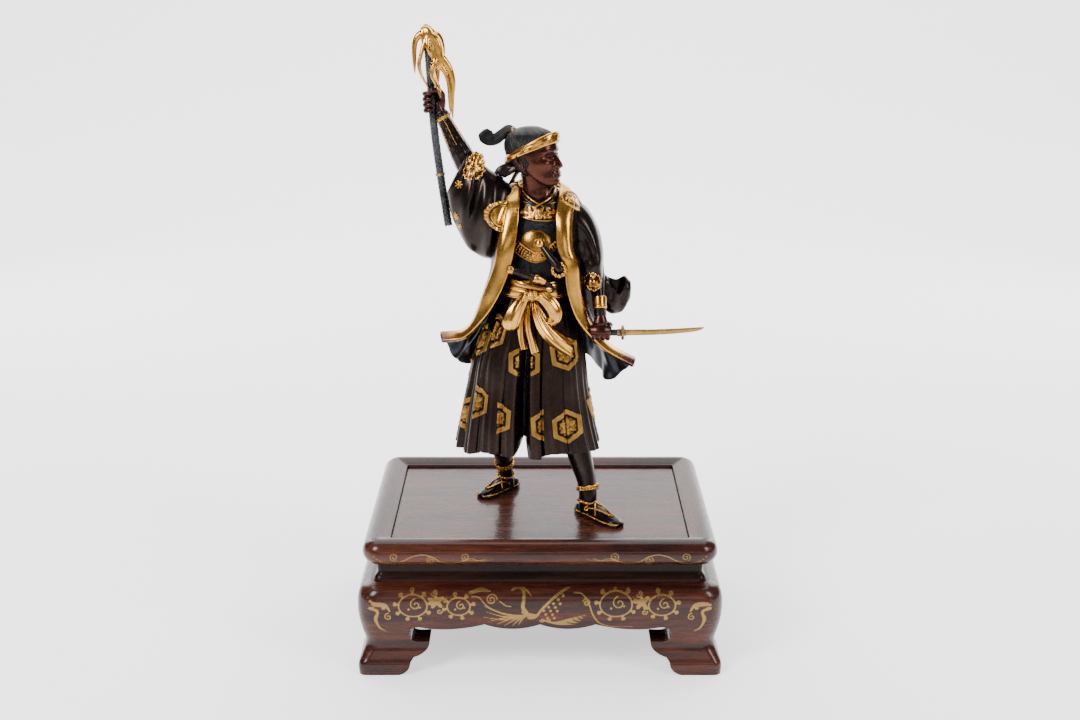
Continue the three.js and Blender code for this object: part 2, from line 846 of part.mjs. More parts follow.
// Four fingers and a thumb closed round a bar; palm points from the bar to the back of the hand.
function fist(centre, bar, palm, grip) {
  const axis = vec(bar).normalize();
  const back = vec(palm).addScaledVector(axis, -vec(palm).dot(axis)).normalize();
  const over = axis.clone().cross(back);
  const point = (slide, radius, degrees) => {
    const angle = THREE.MathUtils.degToRad(degrees);
    return vec(centre)
      .addScaledVector(axis, slide)
      .addScaledVector(back, radius * Math.cos(angle))
      .addScaledVector(over, radius * Math.sin(angle))
      .toArray();
  };
  const thick = 1.8;
  const curl = [10, 65, 125, 185, 250];
  const finger = (slide) =>
    sweep(
      curl.map((degrees) => [...point(slide, grip + gap + thick, degrees), thick, thick]),
      axis.toArray(),
      { steps: 4, sides: 5 },
    );
  const fingers = [-5.7, -1.9, 1.9, 5.7].map(finger);
  const thumb = sweep(
    [
      [...point(3, grip + 4.4, -14), 2.4, 2.4],
      [...point(7.8, grip + 3, -50), 2.2, 2.2],
      [...point(7.4, grip + 2.6, -112), 1.4, 1.4],
    ],
    axis.toArray(),
    { steps: 3, sides: 5 },
  );
  const heel = sweep(
    [
      [...point(-7, grip + 2.8, 6), 3.4, 2.2],
      [...point(0, grip + 3.4, 2), 5, 2.8],
      [...point(7, grip + 2.8, 2), 3.4, 2.2],
    ],
    over.toArray(),
    { steps: 3, sides: 6 },
  );
  return join(heel, thumb, ...fingers);
}

const rightHand = () => fist([-70, 8.4, 361], [-0.06, 0.06, 1], [1, 0.2, -0.3], 2.5);
const leftHand = () => fist([39.8, hilt.y, hilt.z], [1, 0, 0], [0, -0.5, 0.85], 2.1);

// Sash: a belt round the waist, a knot, two loops, two ends and a long swag
const beltRows = [
  [236.4, -3, -5.5, 22.4, 17.8],
  [238.4, -3, -5.5, 24.2, 19.6],
  [243, -3, -5.5, 24.6, 20],
  [247.4, -3, -5.2, 23.8, 19.2],
  [249.4, -3, -5, 22, 17.6],
];
const sashRibbons = [
  [
    // knot
    [-11, -26, 239, 2.6, 2.6],
    [-7, -28, 239.8, 4.2, 3.6],
    [-2, -27, 240.6, 3, 2.6],
  ],
  [
    // left loop
    [-8, -27, 240, 2.6, 2.2],
    [-14, -28, 232, 5, 3],
    [-18.6, -28, 225, 5.4, 3],
    [-20.6, -27, 220.6, 2.6, 1.6],
  ],
  [
    // right loop, out and back under itself
    [-4, -28, 240, 2.6, 2],
    [5, -31, 241.6, 4.2, 2.4],
    [12.6, -31, 233, 4.4, 2.6],
    [8, -29.4, 223.4, 4, 2.2],
    [-1, -27.6, 234, 2.4, 1.6],
  ],
  [
    // hanging ends
    [-8, -27.6, 237, 2.4, 2],
    [-10.4, -29, 222, 3.2, 2],
    [-12, -29.6, 206.6, 3.2, 1.4],
  ],
  [
    [-6.4, -27.6, 237, 2.4, 2],
    [-4, -29.6, 221, 3.4, 2],
    [-1.6, -30.4, 204.6, 3.4, 1.4],
  ],
  [
    // swag to the left hip
    [-3, -28, 237, 2.6, 2],
    [0.6, -30, 225, 4.6, 2.8],
    [10, -31, 213, 5.8, 3],
    [19.6, -29.6, 206, 6, 2.8],
    [25, -27.4, 196, 3.4, 1.6],
    [24, -27, 190.6, 1, 1],
  ],
];

function sash(grow = 0) {
  const bore = stack(
    [
      [beltRows[0][0] - 1, -3, -5.2, 18, 13.6],
      [beltRows.at(-1)[0] + 1, -3, -5.2, 18, 13.6],
    ],
    { steps: 1, grow: -grow },
  );
  const ribbons = sashRibbons.map((rows) => sweep(rows, [1, 0, 0.2], { grow, steps: 4, sides: 5 }));
  return join(cut(stack(beltRows, { steps: 3, sides: 16, grow }), bore), ...ribbons);
}

function figure() {
  const cast = join(
    hakama(),
    ...legs.map(legAndFoot),
    trunk(),
    coat(),
    rightSleeve(),
    leftSleeve(),
    pocket(),
    rightArm(),
    leftArm(),
    rightHand(),
    leftHand(),
  );
  const set = [torchShaft, torchFlame, swordHilt, shortSword, baton, sash, neck, ties];
  return sound(cut(cast, ...set.map((piece) => piece(gap))));
}

// The whole object

const model = new THREE.Group();
const add = (name, solid, material) => {
  const mesh = new THREE.Mesh(geometryOf(solid), material);
  mesh.name = name;
  model.add(mesh);
};

add("stand_frame", standFrame(), finish(colours.wood, 0, 0.35));
add("stand_panel", standPanel(), finish(colours.wood, 0, 0.3));
add("stand_waist", standWaist(), finish(colours.lacquer, 0, 0.4));
add("stand_base", standBase(), finish(colours.wood, 0, 0.35));
add("figure", figure(), finish(colours.bronze, 1, 0.35));
add("head", head(), finish(colours.skin, 1, 0.35));
add("sash", sound(cut(sash(), shortSword(gap))), finish(colours.gilt, 1, 0.3));
add("torch_shaft", torchShaft(), finish(colours.iron, 1, 0.5));
add("torch_flame", torchFlame(), finish(colours.gilt, 1, 0.25));
add("sword", sword(), finish(colours.gilt, 1, 0.35));
add("short_sword", shortSword(), finish(colours.iron, 1, 0.4));
add("baton", baton(), finish(colours.iron, 1, 0.4));

export default model;
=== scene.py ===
import bmesh
import bpy
import numpy as np
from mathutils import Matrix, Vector
from mathutils.bvhtree import BVHTree
from mathutils.kdtree import KDTree
from numpy import (arange, arctan2, array, asarray, clip, column_stack, concatenate, cos, cross, exp, full, gradient,
    hypot, interp, linalg, linspace, maximum, minimum, ones, percentile, pi, radians, sin, sqrt, stack, vstack, zeros)


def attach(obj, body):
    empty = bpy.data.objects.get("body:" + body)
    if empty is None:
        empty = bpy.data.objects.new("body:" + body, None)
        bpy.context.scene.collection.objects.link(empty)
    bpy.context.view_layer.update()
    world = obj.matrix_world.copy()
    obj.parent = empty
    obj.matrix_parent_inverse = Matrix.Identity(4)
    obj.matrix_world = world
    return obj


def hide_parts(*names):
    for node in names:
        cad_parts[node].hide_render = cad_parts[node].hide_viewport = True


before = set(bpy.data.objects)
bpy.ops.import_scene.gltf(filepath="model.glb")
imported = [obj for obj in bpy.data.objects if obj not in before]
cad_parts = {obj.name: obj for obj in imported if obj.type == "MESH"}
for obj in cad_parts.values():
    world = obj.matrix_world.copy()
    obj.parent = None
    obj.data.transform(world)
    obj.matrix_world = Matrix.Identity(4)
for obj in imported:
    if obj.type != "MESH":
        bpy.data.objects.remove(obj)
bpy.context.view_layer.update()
print("stage: frame loaded")

mm = 0.001
turn = 2 * pi


# Camera, floor and light

view = {
    "lens": 50,
    "place": (0, -0.9713, 0.4751),
    "tilt": 73.58,  # degrees up from straight down
    "floorColour": (0.95, 0.95, 0.95), "floorGlow": 0.9, "farGlow": 0.9,
    "floorHalf": 3.2, "floorBow": 1.4, "floorRise": 4,  # metres
    "skyStrength": 0.16,
}
softboxes = {  # place, where it points, width, height, watts
    "keyLeft": ((-0.8, -0.85, 1), (0, 0, 0.25), 0.45, 0.6, 20),
    "fillRight": ((0.95, -0.7, 0.8), (0, 0, 0.25), 0.35, 0.6, 10),
    "front": ((0.1, -1.9, 0.5), (0, 0, 0.2), 1.2, 0.25, 2.5),
    "overhead": ((0, 1, 2.4), (0, 0.9, 0), 2.8, 2.2, 70),
    "backLeft": ((-0.8, 0.9, 0.7), (0, 0, 0.25), 0.5, 0.8, 7),
    "backRight": ((0.8, 0.9, 0.7), (0, 0, 0.25), 0.5, 0.8, 7),
}


def placeObject(name, data):
    made = bpy.data.objects.new(name, data)
    bpy.context.collection.objects.link(made)
    return made


def feed(tree, socket, value):  # links a socket or a node's first output, or sets a plain value
    if isinstance(value, bpy.types.Node):
        value = value.outputs[0]
    if isinstance(value, bpy.types.NodeSocket):
        tree.links.new(value, socket)
    else:
        socket.default_value = (*value, 1) if socket.type == "RGBA" else value


def addNode(tree, kind, inputs=None, **settings):
    made = tree.nodes.new(kind)
    for key, value in settings.items():
        setattr(made, key, value)
    for key, value in (inputs or {}).items():
        feed(tree, made.inputs[key], value)
    return made


def maths(tree, operation, *values):
    return addNode(tree, "ShaderNodeMath", dict(enumerate(values)), operation=operation)


def ramp(tree, factor, stops):  # colour ramp from (place, colour) stops
    made = addNode(tree, "ShaderNodeValToRGB", {"Fac": factor})
    band = made.color_ramp
    while len(band.elements) < len(stops):
        band.elements.new(0.5)
    for element, (place, colour) in zip(band.elements, stops):
        element.position = place
        element.color = (*colour, 1)
    return made


def between(tree, value, low, high, toLow, toHigh):  # maps a value from one span to another
    return addNode(tree, "ShaderNodeMapRange", {"Value": value, "From Min": low, "From Max": high, "To Min": toLow,
        "To Max": toHigh})


def blend(tree, factor, first, second):  # mixes two colours
    made = addNode(tree, "ShaderNodeMix", data_type="RGBA")
    for socket, value in zip([s for s in made.inputs if s.enabled], (factor, first, second)):
        feed(tree, socket, value)
    return next(s for s in made.outputs if s.enabled)


finishes = {}


def startFinish(name):
    material = finishes[name] = bpy.data.materials.new(name)
    material.use_nodes = True
    tree = material.node_tree
    tree.nodes.clear()
    return tree, addNode(tree, "ShaderNodeTexCoord").outputs["Object"]


def endFinish(tree, sockets):
    shader = addNode(tree, "ShaderNodeBsdfPrincipled", sockets)
    addNode(tree, "ShaderNodeOutputMaterial", {"Surface": shader})


def setCamera():
    camera = bpy.data.cameras.new("photoCamera")
    camera.lens = view["lens"]
    camera.sensor_width = 36
    holder = placeObject("photoCamera", camera)
    holder.location = view["place"]
    holder.rotation_euler = (radians(view["tilt"]), 0, 0)
    bpy.context.scene.camera = holder


def setLights():
    for name, (place, target, width, height, watts) in softboxes.items():
        light = bpy.data.lights.new(name, "AREA")
        light.shape = "RECTANGLE"
        light.size, light.size_y = width, height
        light.energy = watts
        holder = placeObject(name, light)
        holder.location = place
        holder.rotation_euler = (Vector(target) - Vector(place)).to_track_quat("-Z", "Y").to_euler()
    world = bpy.data.worlds.new("studio")
    world.use_nodes = True
    bpy.context.scene.world = world
    background = world.node_tree.nodes["Background"]
    background.inputs["Color"].default_value = (1, 1, 1, 1)
    background.inputs["Strength"].default_value = view["skyStrength"]


def setFloor():  # a pale floor that curves up into a backdrop
    mesh = bpy.data.meshes.new("floor")
    side, bow, rise = view["floorHalf"], view["floorBow"], view["floorRise"]
    lift = linspace(0, pi / 2, 25)
    curve = [(side - bow + bow * sin(k), bow - bow * cos(k)) for k in lift]
    line = [(-3, 0), *curve, (side, rise)]
    verts = [(x, y, z) for y, z in line for x in (-side, side)]
    mesh.from_pydata(verts, [], [(2 * k, 2 * k + 1, 2 * k + 3, 2 * k + 2) for k in range(len(line) - 1)])
    mesh.shade_smooth()
    floor = placeObject("floor", mesh)
    tree, where = startFinish("floorPaper")
    # it glows more towards the back, and not at all in front, where the metal would mirror it
    back = addNode(tree, "ShaderNodeSeparateXYZ", {"Vector": where}).outputs["Y"]
    near = between(tree, back, -0.5, -0.15, 0, view["floorGlow"])
    far = between(tree, back, 0.1, 1.4, 0, view["farGlow"])
    endFinish(tree, {"Base Color": view["floorColour"], "Roughness": 0.9, "Specular IOR Level": 0.1,
        "Emission Color": (1, 1, 1), "Emission Strength": maths(tree, "ADD", near, far)})
    mesh.materials.append(finishes["floorPaper"])


setCamera()
setLights()
setFloor()
print("stage: camera, lights and floor")


# Finishes

metalLooks = {
    # dark and light ends of the patina, hollow colour (patina there, darkened further as painted shade), metallic, span
    # of roughness, coat
    "coatBronze": ((0.01, 0.0065, 0.0055), (0.024, 0.0145, 0.0115), (0.003, 0.002, 0.002), 0.85, (0.2, 0.3), 0.12),
    "liningBronze": ((0.014, 0.015, 0.019), (0.034, 0.037, 0.046), (0.004, 0.004, 0.005), 0.85, (0.34, 0.46), 0.1),
    "hakamaBronze": ((0.011, 0.0052, 0.0036), (0.025, 0.0112, 0.0072), (0.003, 0.002, 0.002), 0.85, (0.24, 0.34), 0.1),
    "faceCopper": ((0.036, 0.0088, 0.0047), (0.076, 0.0185, 0.008), (0.014, 0.004, 0.0025), 0.85, (0.24, 0.34), 0.12),
    "handBronze": ((0.026, 0.008, 0.006), (0.062, 0.0165, 0.0105), (0.01, 0.004, 0.003), 0.85, (0.24, 0.34), 0.12),
    "gilt": ((0.47, 0.215, 0.036), (0.76, 0.4, 0.083), (0.06, 0.024, 0.006), 1, (0.17, 0.28), 0),
    "agedGilt": ((0.22, 0.11, 0.022), (0.4, 0.22, 0.052), (0.018, 0.009, 0.004), 1, (0.27, 0.4), 0),
    "edgeCopper": ((0.12, 0.055, 0.04), (0.22, 0.11, 0.075), (0.04, 0.018, 0.012), 0.8, (0.32, 0.45), 0),
    "ironGrey": ((0.02, 0.021, 0.024), (0.058, 0.061, 0.068), (0.006, 0.006, 0.007), 0.8, (0.26, 0.42), 0),
    "braidSteel": ((0.012, 0.012, 0.014), (0.085, 0.086, 0.094), (0.002, 0.002, 0.002), 0.9, (0.24, 0.36), 0),
    "hairGrey": ((0.01, 0.0092, 0.0092), (0.03, 0.0275, 0.027), (0.002, 0.002, 0.002), 0.8, (0.34, 0.46), 0),
    "brass": ((0.26, 0.155, 0.045), (0.44, 0.28, 0.09), (0.2, 0.12, 0.035), 1, (0.24, 0.36), 0),
    "guardCopper": ((0.25, 0.125, 0.06), (0.44, 0.25, 0.12), (0.06, 0.028, 0.014), 0.9, (0.26, 0.38), 0),
}


def metalFinish(name, look, relief=False, punched=False, turned=None):
    dark, light, hollowPatinaAndShade, metallic, roughness, clearCoat = look
    tree, place = startFinish(name)
    cloud = addNode(tree, "ShaderNodeTexNoise", {"Vector": place, "Scale": 70, "Detail": 5, "Roughness": 0.6})
    speck = addNode(tree, "ShaderNodeTexNoise", {"Vector": place, "Scale": 900, "Detail": 3, "Roughness": 0.65})
    patina = ramp(tree, cloud, [(0.34, dark), (0.66, light)])
    if turned:  # another metal's colour where the attribute "copper" is 1
        share = addNode(tree, "ShaderNodeAttribute", attribute_name="copper").outputs["Fac"]
        other = ramp(tree, cloud, [(0.34, turned[0]), (0.66, turned[1])])
        patina = blend(tree, share, patina, other)
    if relief:  # the raised parts are rubbed bright; the low parts take the hollow colour, patina deepened as painted shade
        height = addNode(tree, "ShaderNodeAttribute", attribute_name="relief").outputs["Fac"]
        rubbedAndLit = between(tree, height, 0.2, 0.7, 0, 1)
    else:
        # the hollows that ambient occlusion finds take the hollow colour: patina, deepened as painted shade
        hollow = addNode(tree, "ShaderNodeAmbientOcclusion", {"Distance": 0.0035}, samples=4)
        rubbedAndLit = between(tree, hollow.outputs["AO"], 0.35, 0.85, 0, 1)
    colour = blend(tree, rubbedAndLit, hollowPatinaAndShade, patina)
    rough = between(tree, speck, 0.3, 0.7, *roughness)
    bump = addNode(tree, "ShaderNodeBump", {"Height": speck, "Strength": 0.05, "Distance": 0.0004})
    if punched:  # rows of fine dots
        dots = addNode(tree, "ShaderNodeTexVoronoi", {"Vector": place, "Scale": 1250, "Randomness": 0.55})
        bump = addNode(tree, "ShaderNodeBump", {"Height": between(tree, dots, 0, 0.6, 1, 0), "Strength": 0.9,
            "Distance": 0.0003, "Normal": bump})
        # the pits of the dots take the hollow colour: patina, deepened as painted shade
        colour = blend(tree, between(tree, dots, 0.1, 0.5, 1, 0), hollowPatinaAndShade, colour)
    endFinish(tree, {"Base Color": colour, "Metallic": metallic, "Roughness": rough, "Normal": bump,
        "Coat Weight": clearCoat, "Coat Roughness": 0.16})


for name, look in metalLooks.items():
    metalFinish(name, look)
metalFinish("giltRelief", metalLooks["gilt"], relief=True)
metalFinish("kikkoGilt", metalLooks["agedGilt"], relief=True)
metalFinish("bandGilt", metalLooks["gilt"], turned=metalLooks["edgeCopper"])
metalFinish("nanakoIron", metalLooks["ironGrey"], punched=True)

woodLook = {
    "deep": (0.01, 0.0032, 0.0026), "mid": (0.033, 0.0078, 0.0046), "light": (0.085, 0.0195, 0.0078),
    "gold": (0.25, 0.155, 0.045), "gloss": 0.2,
}
darkWoodLook = {
    **woodLook, "deep": (0.004, 0.002, 0.0015), "mid": (0.009, 0.004, 0.0025), "light": (0.022, 0.007, 0.004),
    "gloss": 0.08,
}


def woodFinish(name, look, rails=False, lift=1):
    tree, place = startFinish(name)
    along = place
    if rails:  # the side rails' grain runs across, from mitres at the corners
        parts = addNode(tree, "ShaderNodeSeparateXYZ", {"Vector": place}).outputs
        out = [maths(tree, "SUBTRACT", maths(tree, "ABSOLUTE", parts[k]), half * mm)
            for k, half in enumerate((115, 85))]
        turned = addNode(tree, "ShaderNodeCombineXYZ", {"X": parts["Y"], "Y": parts["X"], "Z": parts["Z"]})
        along = blend(tree, maths(tree, "GREATER_THAN", *out), place, turned)
    stretch = addNode(tree, "ShaderNodeMapping", {"Vector": along, "Scale": (1, 9, 9)})
    warp = addNode(tree, "ShaderNodeTexNoise", {"Vector": stretch, "Scale": 9, "Detail": 4, "Distortion": 0.6})
    streak = addNode(tree, "ShaderNodeTexNoise", {"Vector": stretch, "Scale": 46, "Detail": 6, "Roughness": 0.7,
        "Distortion": 0.3})
    both = addNode(tree, "ShaderNodeMix", {0: 0.4, 2: warp, 3: streak})
    # lift above 1 makes a lighter copy of the wood, a painted sheen
    withPaintedSheen = lambda c: tuple(min(1, v * lift) for v in c)
    colour = ramp(tree, both, [(0.36, look["deep"]), (0.5, withPaintedSheen(look["mid"])), (0.66, withPaintedSheen(look["light"]))])
    poreSpace = addNode(tree, "ShaderNodeMapping", {"Vector": along, "Scale": (1, 14, 14)})
    pores = addNode(tree, "ShaderNodeTexNoise", {"Vector": poreSpace, "Scale": 260, "Detail": 2})
    colour = blend(tree, between(tree, pores, 0.6, 0.72, 0, 0.75), colour, look["deep"])
    rough = between(tree, streak, 0.3, 0.7, 0.2, 0.34)
    drawn = addNode(tree, "ShaderNodeAttribute", attribute_name="gold").outputs["Fac"]
    mask = between(tree, drawn, 0.35, 0.65, 0, 1)  # the attribute is 1 inside the drawn strokes
    colour = blend(tree, mask, colour, look["gold"])
    metal = between(tree, mask, 0, 1, 0, 0.75)
    bump = addNode(tree, "ShaderNodeBump", {"Height": pores, "Strength": 0.06, "Distance": 0.0004})
    endFinish(tree, {"Base Color": colour, "Roughness": rough, "Metallic": metal, "Normal": bump,
        "Specular IOR Level": look["gloss"], "Coat Weight": look["gloss"], "Coat Roughness": 0.06})


woodFinish("rosewood", woodLook)
woodFinish("rosewoodRails", woodLook, rails=True)
# the top panel is the same wood painted lighter, a painted sheen of the pale backdrop
woodFinish("rosewoodPanelSheen", woodLook, lift=1.25)
woodFinish("darkWood", darkWoodLook)
print("stage: finishes")


# Shapes

def readRows(rows, t):  # smooth reading of a table, from 0 at its first row to 1 at its last
    rows = asarray(rows, float)
    last = len(rows) - 1
    s = clip(np.atleast_1d(asarray(t, float)), 0, 1) * last
    i = minimum(s.astype(int), last - 1)
    f = (s - i)[:, None]
    a, b, c, d = (rows[clip(i + k, 0, last)] for k in (-1, 0, 1, 2))
    start, end, rise = (c - a) / 2, (d - b) / 2, c - b
    return b + f * (start + f * (3 * rise - 2 * start - end + f * (start + end - 2 * rise)))


def unit(v):
    v = asarray(v, float)
    return v / maximum(linalg.norm(v, axis=-1, keepdims=True), 1e-9)


def angles(count):
    return arange(count) * turn / count


def ringsShape(rings, loop=False):  # skin over equal rings; ends fanned, or the last joined to the first
    rings = asarray(rings, float)
    count, sides = rings.shape[:2]
    verts = rings.reshape(-1, 3)
    i = arange(count if loop else count - 1)[:, None]
    j = arange(sides)
    k, n = (i + 1) % count, (j + 1) % sides
    quads = stack([i * sides + j, i * sides + n, k * sides + n, k * sides + j], -1).reshape(-1, 4)
    faces = quads.tolist()
    if not loop:
        hubs = array([rings[0].mean(0), rings[-1].mean(0)])
        base = len(verts)
        verts = vstack([verts, hubs])
        end = (count - 1) * sides
        for j in range(sides):
            n = (j + 1) % sides
            faces.append([base, n, j])
            faces.append([base + 1, end + j, end + n])
    return verts, faces


def roundEnds(rings, reach=0.6):  # adds rings that close a limb's ends softly
    rings = asarray(rings, float)
    done = []
    for end, nextOne in ((rings[0], rings[1]), (rings[-1], rings[-2])):
        middle = end.mean(0)
        away = unit(middle - nextOne.mean(0))
        size = linalg.norm(end - middle, axis=1).min() * reach
        done.append([middle + (end - middle) * cos(a) + away * size * sin(a) for a in (0.45, 0.9, 1.3)])
    return array([*done[0][::-1], *rings, *done[1]])


def limbFrame(rows, t, side=(1, 0, 0)):  # a limb's rows at t, and the directions of its two half-sizes
    along = unit(readRows(rows, t + 0.01)[:, :3] - readRows(rows, t - 0.01)[:, :3])
    side = asarray(side, float)
    u = unit(side - along * (along @ side)[:, None])
    return readRows(rows, t), u, cross(along, u)


def tube(rows, side=(1, 0, 0), steps=24, sides=20, grow=0, section=None, soft=True):
    # rows of x, y, z, half-width towards side, half-depth
    t = linspace(0, 1, steps + 1)
    table, u, v = limbFrame(rows, t, side)
    angle = angles(sides)
    k = ones((steps + 1, sides)) if section is None else section(t[:, None], angle)
    a = (table[:, 3] + grow)[:, None] * cos(angle) * k
    b = (table[:, 4] + grow)[:, None] * sin(angle) * k
    rings = table[:, None, :3] + u[:, None] * a[..., None] + v[:, None] * b[..., None]
    return ringsShape(roundEnds(rings) if soft else rings)


def levelRings(rows, steps, sides, shape=None):  # rows of z, x, y, half-width, half-depth
    t = linspace(0, 1, steps + 1)
    z, x, y, a, b = readRows(rows, t).T
    angle = angles(sides)
    k = ones((steps + 1, sides)) if shape is None else shape(t[:, None], angle)
    return stack([x[:, None] + a[:, None] * k * cos(angle), y[:, None] + b[:, None] * k * sin(angle),
        np.broadcast_to(z[:, None], (steps + 1, sides))], -1)


def gridNormal(grid):
    return unit(cross(gradient(grid, axis=0), gradient(grid, axis=1)))


def clothShape(grid, thick, inward=1):  # closed cloth with softly thinned edges
    grid = asarray(grid, float)
    rows, columns = grid.shape[:2]
    normal = gridNormal(grid) * inward
    reach = lambda n: clip(minimum(arange(n), arange(n)[::-1]) / 3, 0, 1)
    thin = sqrt(1 - (1 - minimum(reach(rows)[:, None], reach(columns))) ** 2)
    k = (0.25 + 0.75 * thin)[..., None]
    outer = grid + normal * thick / 2 * (1 - k)
    inner = grid + normal * thick / 2 * (1 + k)
    verts = vstack([outer.reshape(-1, 3), inner.reshape(-1, 3)])
    i, j = arange(rows - 1)[:, None], arange(columns - 1)
    at = lambda r, c: r * columns + c
    quads = stack([at(i, j), at(i, j + 1), at(i + 1, j + 1), at(i + 1, j)], -1).reshape(-1, 4)
    under = quads[:, ::-1] + rows * columns
    faces = quads.tolist() + under.tolist()
    border = [at(0, c) for c in range(columns)]
    border += [at(r, columns - 1) for r in range(1, rows)]
    border += [at(rows - 1, c) for c in range(columns - 2, -1, -1)]
    border += [at(r, 0) for r in range(rows - 2, 0, -1)]
    for p, q in zip(border, border[1:] + border[:1]):
        faces.append([q, p, p + rows * columns, q + rows * columns])
    return verts, faces


def meshObject(name, shapes, finish):
    verts, faces, base = [], [], 0
    for shapeVerts, shapeFaces in shapes:
        verts.append(asarray(shapeVerts, float) * mm)
        faces += [[i + base for i in face] for face in shapeFaces]
        base += len(shapeVerts)
    mesh = bpy.data.meshes.new(name)
    mesh.from_pydata(vstack(verts).tolist(), [], faces)
    work = bmesh.new()
    work.from_mesh(mesh)
    bmesh.ops.recalc_face_normals(work, faces=work.faces)
    work.to_mesh(mesh)
    work.free()
    mesh.shade_smooth()
    if finish:
        mesh.materials.append(finishes[finish])
    return placeObject(name, mesh)


def settle(made):  # turns live modifiers into a plain mesh that keeps its finish
    mesh = bpy.data.meshes.new_from_object(made.evaluated_get(bpy.context.evaluated_depsgraph_get()))
    made.modifiers.clear()
    old, made.data = made.data, mesh
    if old.materials:
        mesh.materials.clear()
        mesh.materials.append(old.materials[0])
    mesh.name = made.name
    bpy.data.meshes.remove(old)
    mesh.shade_smooth()
    return made


def fuse(made, voxel, relax=2):  # melts overlapping shapes into one skin
    remesh = made.modifiers.new("fuse", "REMESH")
    remesh.mode = "VOXEL"
    remesh.voxel_size = voxel * mm
    made.modifiers.new("relax", "SMOOTH").iterations = relax
    return settle(made)


def cutAway(made, *cutters, tangled=False):  # takes other shapes out of a piece
    for cutter in cutters:
        boolean = made.modifiers.new(cutter.name, "BOOLEAN")
        boolean.operation, boolean.solver, boolean.object = "DIFFERENCE", "EXACT", cutter
        boolean.use_self = tangled
    settle(made)
    for cutter in cutters:
        bpy.data.objects.remove(cutter)


def pointValues(made, name, values):  # a value at each point, for the finish to read
    attribute = made.data.attributes.new(name, "FLOAT", "POINT")
    attribute.data.foreach_set("value", asarray(values, np.float32))


def sharpen(made, degrees):  # crisp edges where the faces turn sharply
    made.data.set_sharp_from_angle(angle=radians(degrees))
    return made


def surfaceOf(*objects):  # what ornaments are laid on
    verts, faces = [], []
    for thing in objects:
        base = len(verts)
        verts += [v.co / mm for v in thing.data.vertices]
        faces += [[i + base for i in p.vertices] for p in thing.data.polygons]
    return BVHTree.FromPolygons(verts, faces)


layFrom = 60  # how far above the surface a laid point starts


def lay(surface, points, towards):  # slides points along towards until they meet the surface
    towards = Vector(towards).normalized()
    met = []
    for p in asarray(points, float).reshape(-1, 3):
        hit = surface.ray_cast(Vector(p) - towards * layFrom, towards)[0]
        if hit is None:
            hit = surface.find_nearest(Vector(p))[0]
        met.append(hit)
    return array(met)


kept = []  # each shown piece with its slot and the nodes it stands for


def keep(made, slot="bronze", *nodes):
    kept.append((made, slot, nodes or ("figure",)))
    return made


def show(name, shapes, finish, *rest):
    return keep(meshObject(name, shapes, finish), *rest)


# Ornaments laid on the bronze

def medal(surface, centre, towards, outline, relief, rings=18, sides=72, sink=0.7, even=0, up=(0, 0, 1)):
    # a raised ornament; outline gives its radius in mm by angle, relief its height by share and angle
    towards = unit(array(towards, float))
    up = array(up, float)
    up = unit(up - towards * (up @ towards))
    right = cross(towards, up)
    angle = angles(sides)
    share = linspace(0, 1, rings + 1)[1:] ** 0.85
    u = share[:, None] * outline(angle) * cos(angle)
    v = share[:, None] * outline(angle) * sin(angle)
    flat = array(centre, float) + u[..., None] * right + v[..., None] * up
    met = lay(surface, flat, towards).reshape(rings, sides, 3)
    depth = (met - centre) @ towards  # points that missed the surface are drawn back to the rest
    low, high = percentile(depth, 12) - 1.6, percentile(depth, 88) + 1.6
    met += (clip(depth, low, high) - depth)[..., None] * towards
    if even:  # one smooth curve, lifted a little, bridges the folds and gaps under it
        table = stack([np.ones_like(u), u, v, u * u, u * v, v * v], -1).reshape(u.size, -1)
        depth = ((met - centre) @ towards).ravel()
        near = ones(len(depth), bool)
        for _ in range(5):
            fitted = table @ linalg.lstsq(table[near], depth[near], rcond=None)[0]
            near = np.abs(fitted - depth) <= percentile(np.abs(fitted - depth), 100 if even > 1 else 60)
        if even > 1:  # it stands clear of the highest folds
            fitted = fitted - percentile(fitted - depth, 90)
        met = flat + (fitted.reshape(u.shape) - even)[..., None] * towards
    height = relief(share[:, None], angle, u, v)
    top = met - towards * height[..., None]
    hub = met[0].mean(0)
    hubHeight = float(relief(*zeros((4, 1, 1)))[0, 0])
    foot = met[-1] + towards * sink
    inner = met[rings // 2] + towards * sink
    verts = vstack([[hub - towards * hubHeight], top.reshape(-1, 3), foot, inner, [hub + towards * sink]])
    faces = [[0, 1 + j, 1 + (j + 1) % sides] for j in range(sides)]
    for i in range(rings + 1):
        for j in range(sides):
            n = (j + 1) % sides
            faces.append([1 + i * sides + j, 1 + (i + 1) * sides + j, 1 + (i + 1) * sides + n, 1 + i * sides + n])
    last = 1 + (rings + 1) * sides
    faces += [[len(verts) - 1, last + (j + 1) % sides, last + j] for j in range(sides)]
    heights = concatenate([[hubHeight], height.ravel(), zeros(2 * sides + 1)])
    return verts, faces, heights


def reliefObject(name, parts, finish="giltRelief"):  # ornaments that remember how high they stand
    made = meshObject(name, [part[:2] for part in parts], finish)
    pointValues(made, "relief", concatenate([part[2] / part[2].max() for part in parts]))
    return made


def ridge(x, low, high, soft=0.04):  # 1 between low and high, 0 outside
    step = lambda edge: clip((x - edge) / soft * 0.5 + 0.5, 0, 1)
    return step(low) * (1 - step(high))


def polygonOutline(radius, corners, twist=0.0):
    def outline(angle):
        local = (angle - twist) % (turn / corners) - turn / corners / 2
        return radius * cos(pi / corners) / cos(local)
    return outline


def leafField(leaves):  # relief of overlapping leaves: place, direction in degrees, length, width
    def relief(share, angle, u, v):
        height = zeros(np.broadcast(u, v).shape)
        for x, y, lean, length, width in leaves:
            c, s = cos(radians(lean)), sin(radians(lean))
            a = ((u - x) * c + (v - y) * s) / length
            b = (-(u - x) * s + (v - y) * c) / width
            body = clip(1 - a ** 2 - (b * (1.15 + 0.5 * a)) ** 2, 0, 1) ** 0.6
            rib = 1 - 0.35 * exp(-((b / 0.12) ** 2))
            height = maximum(height, body * rib)
        return 0.1 + 0.55 * height
    return relief


